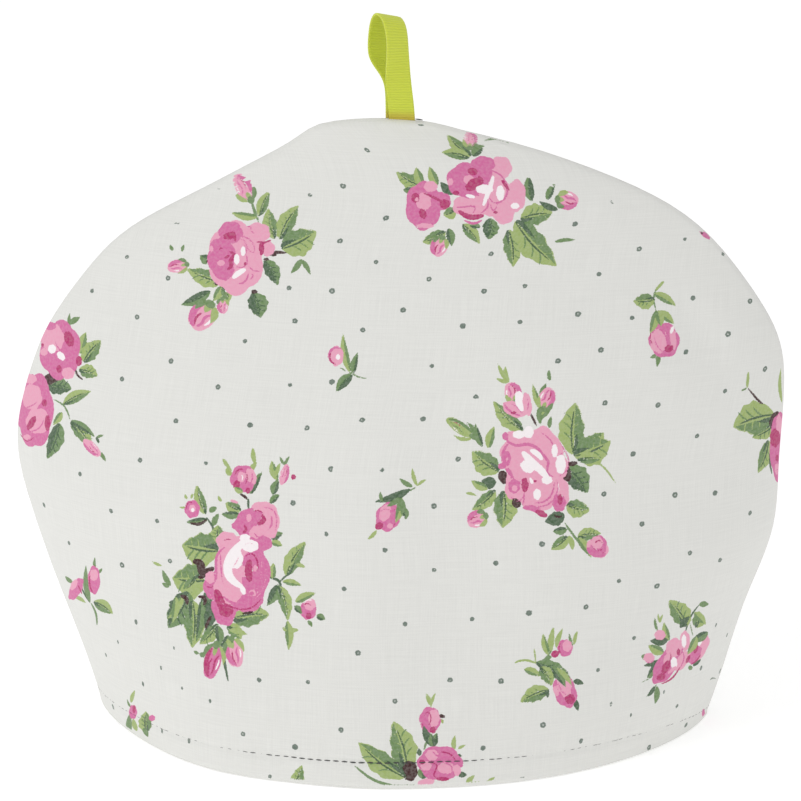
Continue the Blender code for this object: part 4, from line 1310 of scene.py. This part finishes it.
def makeWeaveGroup():
    # plain weave on the flat cloth: a height, and a tint that is 1 on an even thread
    group = bpy.data.node_groups.new("plainWeave", "ShaderNodeTree")
    group.interface.new_socket("Place", in_out="INPUT", socket_type="NodeSocketVector")
    group.interface.new_socket("Threads", in_out="INPUT", socket_type="NodeSocketFloat")
    group.interface.new_socket("Height", in_out="OUTPUT", socket_type="NodeSocketFloat")
    group.interface.new_socket("Tint", in_out="OUTPUT", socket_type="NodeSocketFloat")
    nodes, links = group.nodes, group.links
    inside, outside = nodes.new("NodeGroupInput"), nodes.new("NodeGroupOutput")
    scaled = nodes.new("ShaderNodeVectorMath")
    scaled.operation = "SCALE"
    links.new(inside.outputs["Place"], scaled.inputs[0])
    links.new(inside.outputs["Threads"], scaled.inputs["Scale"])
    parts = nodes.new("ShaderNodeSeparateXYZ")
    links.new(scaled.outputs[0], parts.inputs[0])

    def calculate(operation, first, second=None):
        node = nodes.new("ShaderNodeMath")
        node.operation = operation
        for socket, value in zip(node.inputs, (first, second)):
            if value is None:
                continue
            if isinstance(value, (int, float)):
                socket.default_value = value
            else:
                links.new(value, socket)
        return node.outputs[0]

    sines = [calculate("SINE", calculate("MULTIPLY", parts.outputs[axis], math.pi)) for axis in ("X", "Y")]
    waves = [calculate("ABSOLUTE", sine) for sine in sines]
    over = calculate("MULTIPLY", *sines)
    threads = calculate("MULTIPLY", calculate("ADD", waves[0], waves[1]), 0.35)
    height = calculate("ADD", threads, calculate("MULTIPLY", over, 0.3))
    links.new(height, outside.inputs["Height"])
    tints = []
    for stretch in ((9.0, 0.22, 1.0), (0.22, 9.0, 1.0)):
        streak = nodes.new("ShaderNodeVectorMath")
        streak.operation = "MULTIPLY"
        streak.inputs[1].default_value = stretch
        links.new(scaled.outputs[0], streak.inputs[0])
        tints.append(noiseOf(nodes, links, streak.outputs[0], 0.11))
    tint = calculate("ADD", tints[0], tints[1])
    links.new(tint, outside.inputs["Tint"])
    return group


def attributeOf(nodes, name):
    node = nodes.new("ShaderNodeAttribute")
    node.attribute_name = name
    return node.outputs["Vector"]


def addWeave(nodes, links, shader, group, ground):
    # the cloth's threads: a bump for the normal, and the ground colour with its streaks
    weave = nodes.new("ShaderNodeGroup")
    weave.node_tree = group
    weave.inputs["Threads"].default_value = 1 / weaveSetup["pitch"]
    links.new(attributeOf(nodes, "clothPlace"), weave.inputs["Place"])
    place = nodes.new("ShaderNodeTexCoord").outputs["Object"]
    fineness = [cottonSetup[name] for name in ("wrinkleScale", "wrinkleDetail", "wrinkleRoughness")]
    wrinkles = noiseOf(nodes, links, place, *fineness)
    soft = bumpOf(nodes, links, wrinkles, cottonSetup["wrinkleStrength"], cottonSetup["wrinkleDistance"])
    height = weave.outputs["Height"]
    fine = bumpOf(nodes, links, height, weaveSetup["bumpStrength"], weaveSetup["bumpDistance"])
    links.new(soft.outputs["Normal"], fine.inputs["Normal"])
    links.new(fine.outputs["Normal"], shader.inputs["Normal"])
    streaks = rangeOf(nodes, links, weave.outputs["Tint"], (0.7, 1.3)).outputs["Result"]
    base, tint = linear(ground), weaveSetup["tint"]
    return blendOf(nodes, links, streaks, tinted(base, 1 - tint), tinted(base, 1 + tint))


def makeCotton(name, group, ground, printed):
    material, nodes, links, shader = startMaterial(name, cottonSetup["roughness"])
    shader.inputs["Specular IOR Level"].default_value = cottonSetup["specular"]
    shader.inputs["Sheen Weight"].default_value = cottonSetup["sheen"]
    shader.inputs["Sheen Roughness"].default_value = cottonSetup["sheenRoughness"]
    colour = addWeave(nodes, links, shader, group, ground)
    if printed:
        # an uneven push moves the edges of the inks a little, and a mottle thins them
        place, waver, even = attributeOf(nodes, "clothPlace"), printDetail["waver"], (0.35, 0.65)
        pushNoise = noiseOf(nodes, links, place, cottonSetup["waverScale"])
        push = rangeOf(nodes, links, pushNoise, even, (-waver, waver))
        mottleNoise = noiseOf(nodes, links, place, cottonSetup["mottleScale"])
        mottle = rangeOf(nodes, links, mottleNoise, even, (cottonSetup["thinnestInk"], 1.0))
        for i in range(3):
            parts, moved = nodes.new("ShaderNodeSeparateXYZ"), nodes.new("ShaderNodeVectorMath")
            links.new(attributeOf(nodes, "inks" + str(i + 1)), moved.inputs[0])
            links.new(push.outputs["Result"], moved.inputs[1])
            links.new(moved.outputs[0], parts.inputs[0])
            for j, axis in enumerate(("X", "Y", "Z")):
                soft, depth = printDetail["soft"], parts.outputs[axis]
                edge = rangeOf(nodes, links, depth, (-soft, soft), smooth=True)
                links.new(mottle.outputs["Result"], edge.inputs["To Max"])
                ink = linear(inkColours[inkNames[3 * i + j]])
                colour = blendOf(nodes, links, edge.outputs["Result"], colour, ink)
    links.new(colour, shader.inputs["Base Color"])
    return material


# The hem's stitches.

stitchSetup = {
    "pitch": 0.0033, "length": 0.0025, "thickness": 0.00055, "colour": (70, 70, 70), "roughness": 0.7,
    "mottleScale": 900.0, "mottle": (0.7, 1.4),
    "lift": 0.00014, "sideSink": 0.00018, "drawnFrom": 0.5, "drawnPower": 1.4, "drawnThinner": 0.6,
    "endLength": 0.0032, "endAlong": (0.98, 0.0, -0.12), "endNormal": (0, -0.8, 0.6), "arch": 0.0001,
}


def makeThread(name, colour):
    material, nodes, links, shader = startMaterial(name, stitchSetup["roughness"])
    place = nodes.new("ShaderNodeTexCoord").outputs["Object"]
    noise = noiseOf(nodes, links, place, stitchSetup["mottleScale"])
    shades = [tinted(linear(colour), factor) for factor in stitchSetup["mottle"]]
    tone = blendOf(nodes, links, noise, *shades)
    links.new(tone, shader.inputs["Base Color"])
    return material


def makeHemStitches(name, panel, material):
    bm = bmesh.new()
    angles = np.linspace(-1.52, 1.52, 1200)
    line, _ = outerPoint(angles, stitchHeight(angles), panel)
    lengths = np.concatenate([[0.0], np.cumsum(np.linalg.norm(np.diff(line, axis=0), axis=1))])
    count = int(lengths[-1] / stitchSetup["pitch"])
    seats = []
    for i in range(count):
        middle = np.interp((i + 0.5) * stitchSetup["pitch"], lengths, angles)
        angle = np.array([middle])
        height = stitchHeight(angle)
        spots = [outerPoint(angle + step, height, panel)[0][0] for step in (-0.004, 0.0, 0.004)]
        along = Vector(spots[2] - spots[0]).normalized()
        normal = Vector(outwardNormal(angle, height, panel)[0])
        # towards the sides the stitches draw in to one thin line
        drawn = min(1.0, (abs(math.sin(middle)) / stitchSetup["drawnFrom"]) ** stitchSetup["drawnPower"])
        seat = Vector(spots[1]) + normal * (stitchSetup["lift"] - stitchSetup["sideSink"] * drawn)
        length = stitchSetup["length"] + (stitchSetup["pitch"] - stitchSetup["length"]) * drawn**3
        thickness = stitchSetup["thickness"] * (1 - stitchSetup["drawnThinner"] * drawn)
        seats.append((seat, along, normal, length, thickness))
    if "threadEnd" in panel:
        along, normal = Vector(stitchSetup["endAlong"]).normalized(), Vector(stitchSetup["endNormal"])
        end = Vector(panel["threadEnd"])
        seats.append((end, along, normal, stitchSetup["endLength"], stitchSetup["thickness"]))
    for place, along, normal, length, thickness in seats:
        made = bmesh.ops.create_uvsphere(bm, u_segments=8, v_segments=6, radius=1.0)["verts"]
        up = along.cross(normal)
        for vertex in made:
            local = vertex.co.copy()
            height = local.y * thickness / 2 - stitchSetup["arch"] * local.z**2
            vertex.co = place + along * (local.z * length / 2) + up * (local.x * thickness / 2)
            vertex.co += normal * height
    bmesh.ops.recalc_face_normals(bm, faces=bm.faces)
    stitches = pieceFrom(name, bm, (material,))
    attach(stitches, "root")
    return stitches


# The ribbon loop.

ribbonSetup = {
    "width": 0.0100, "wall": 0.0008, "ribPitch": 0.00105, "ribDepth": 0.00008,
    "columns": 14, "rowsPerRib": 6, "colour": (199, 209, 62), "seamShadeColour": (190, 174, 52),
    "roughness": 0.55, "sheen": 0.1, "glow": 0.35, "glowScale": 0.0016,
    # painted shade: the ribbon is darker at its foot between the panels, and in each rib's trough
    "seamShadeHeights": (0.2385, 0.2428), "ribTroughShade": 0.89, "selvedgeFrom": 0.46,
    # side, behind, height, turn, dip of the ribbon's middle line, over the top from the front
    "route": (
        (0.0021, -0.0005, 0.2374, 0, 0), (0.0016, -0.0016, 0.2453, 6, 1),
        (0.0009, -0.0040, 0.2550, 24, 2), (0.0009, -0.0058, 0.2660, 42, 4),
        (-0.0002, -0.0044, 0.2748, 40, 10), (-0.0033, 0.0006, 0.2782, 35, 13),
        (-0.0063, 0.0056, 0.2748, 33, 10), (-0.0073, 0.0071, 0.2664, 28, 4),
        (-0.0060, 0.0068, 0.2596, 22, 3), (-0.0014, 0.0048, 0.2532, 13, 1),
        (0.0003, 0.0022, 0.2460, 4, 1), (0.0006, 0.0005, 0.2374, 0, 0),
    ),
}


def makeRibbon(name, material):
    route = np.array(ribbonSetup["route"])
    stops = np.linspace(0, 1, len(route))
    curves = [curveThrough(stops, route[:, i]) for i in range(5)]
    shares = np.linspace(0, 1, 400)
    middle = np.stack([curve(shares) for curve in curves[:3]], -1)
    lengths = np.concatenate([[0.0], np.cumsum(np.linalg.norm(np.diff(middle, axis=0), axis=1))])
    rows = int(lengths[-1] / ribbonSetup["ribPitch"]) * ribbonSetup["rowsPerRib"]
    bm = bmesh.new()
    bmesh.ops.create_grid(bm, x_segments=ribbonSetup["columns"], y_segments=rows, size=1.0)
    place = bm.verts.layers.float_vector.new("ribbonPlace")
    for vertex in bm.verts:
        across, run = vertex.co.x, (vertex.co.y + 1) / 2 * lengths[-1]
        share = float(np.interp(run, lengths, shares))
        side, behind, height, turn, dip = [float(curve(np.array(share))) for curve in curves]
        turn, dip = math.radians(turn), math.radians(dip)
        width = Vector((math.cos(turn) * math.cos(dip), math.sin(turn) * math.cos(dip), -math.sin(dip)))
        vertex[place] = (across * ribbonSetup["width"] / 2, run, height)
        vertex.co = Vector((side, behind, height)) + width * (across * ribbonSetup["width"] / 2)
    bmesh.ops.recalc_face_normals(bm, faces=bm.faces)
    bm.normal_update()
    pitch = ribbonSetup["ribPitch"]
    for vertex in bm.verts:
        wave = math.cos(2 * math.pi * vertex[place].y / pitch)
        selvedge = abs(vertex[place].x) > ribbonSetup["width"] * ribbonSetup["selvedgeFrom"]
        vertex.co += vertex.normal * (0.0 if selvedge else wave * ribbonSetup["ribDepth"])
    loop = pieceFrom(name, bm, (material,))
    wall = loop.modifiers.new("ribbonWall", "SOLIDIFY")
    wall.thickness = ribbonSetup["wall"]
    wall.offset = 0.0
    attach(loop, "root")
    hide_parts("hanging_loop")
    return loop


def makeRibbonMaterial():
    material, nodes, links, shader = startMaterial("limeRibbon", ribbonSetup["roughness"])
    shader.inputs["Sheen Weight"].default_value = ribbonSetup["sheen"]
    shader.inputs["Subsurface Weight"].default_value = ribbonSetup["glow"]
    shader.inputs["Subsurface Radius"].default_value = (1.0, 1.0, 0.35)
    shader.inputs["Subsurface Scale"].default_value = ribbonSetup["glowScale"]
    place = nodes.new("ShaderNodeSeparateXYZ")
    links.new(attributeOf(nodes, "ribbonPlace"), place.inputs[0])
    # painted shade: darker and yellower below these heights, where the ribbon's foot sinks between the
    # panels
    base = rangeOf(nodes, links, place.outputs["Z"], ribbonSetup["seamShadeHeights"], smooth=True)
    foot, body = linear(ribbonSetup["seamShadeColour"]), linear(ribbonSetup["colour"])
    tone = blendOf(nodes, links, base.outputs["Result"], foot, body)
    # painted shade: the colour is darkened in each rib's trough, in step with the ribs' bumps
    ribs = nodes.new("ShaderNodeMath")
    ribs.operation = "MULTIPLY"
    ribs.inputs[1].default_value = 2 * math.pi / ribbonSetup["ribPitch"]
    links.new(place.outputs["Y"], ribs.inputs[0])
    wave = nodes.new("ShaderNodeMath")
    wave.operation = "COSINE"
    links.new(ribs.outputs[0], wave.inputs[0])
    shade = rangeOf(nodes, links, wave.outputs[0], (-1.0, 1.0), (ribbonSetup["ribTroughShade"], 1.0))
    troughShaded = nodes.new("ShaderNodeVectorMath")
    troughShaded.operation = "SCALE"
    links.new(tone, troughShaded.inputs[0])
    links.new(shade.outputs["Result"], troughShaded.inputs["Scale"])
    links.new(troughShaded.outputs[0], shader.inputs["Base Color"])
    return material


# Everything together.

bpy.context.scene.view_settings.view_transform = "Standard"
makeCamera()
makeLights()
makeFloor()
print("camera, light and floor made")

frontPanel = {"facing": -1, "folds": frontFolds, "threadEnd": (0.0088, -0.0018, 0.2385)}
backPanel = {"facing": 1, "folds": backFolds}
weaveGroup = makeWeaveGroup()
printedCotton = makeCotton("printedCotton", weaveGroup, cottonSetup["printedGround"], True)
liningCotton = makeCotton("liningCotton", weaveGroup, cottonSetup["liningGround"], False)
threadGrey = makeThread("greyThread", stitchSetup["colour"])

chance = np.random.default_rng(21)
frontShapes = dotShapes(dotPixels, frontPanel, chance)
posies = [inMillimetres(posy) for posy in (edgePosy, rimPosy, *budPosies)]
for spray in (shoulderSpray, crownSpray, rightSpray, leftSpray, *posies):
    frontShapes += layOnCloth(sprayShapes(spray), spray["pixel"], frontPanel)
print("front print drawn:", len(frontShapes), "shapes")
backRepeats = (
    (leftSpray, (265, 300), 20), (rightSpray, (575, 300), -15), (crownSpray, (420, 545), 10),
    (shoulderSpray, (640, 560), 190), (shoulderSpray, (170, 560), 15), (posies[2], (420, 380), 60),
    (posies[3], (400, 220), -30), (posies[4], (300, 450), 0), (posies[5], (540, 690), 10),
    (posies[6], (700, 420), 0), (posies[8], (270, 690), 0), (posies[3], (95, 400), 20),
)
backShapes = dotShapes(backDots(backRepeats), backPanel, chance)
for spray, pixel, turn in backRepeats:
    backShapes += layOnCloth(sprayShapes(spray), pixel, backPanel, turn)
print("back print drawn:", len(backShapes), "shapes")

cottons = (printedCotton, liningCotton)
panels = [
    makePanel("frontPanel", "front_panel", frontPanel, frontShapes, cottons),
    makePanel("backPanel", "back_panel", backPanel, backShapes, cottons),
]
print("panels made")
frontStitches = makeHemStitches("frontHemStitches", frontPanel, threadGrey)
backStitches = makeHemStitches("backHemStitches", backPanel, threadGrey)
makeRibbon("ribbonLoop", makeRibbonMaterial())
print("stitches and ribbon loop made")
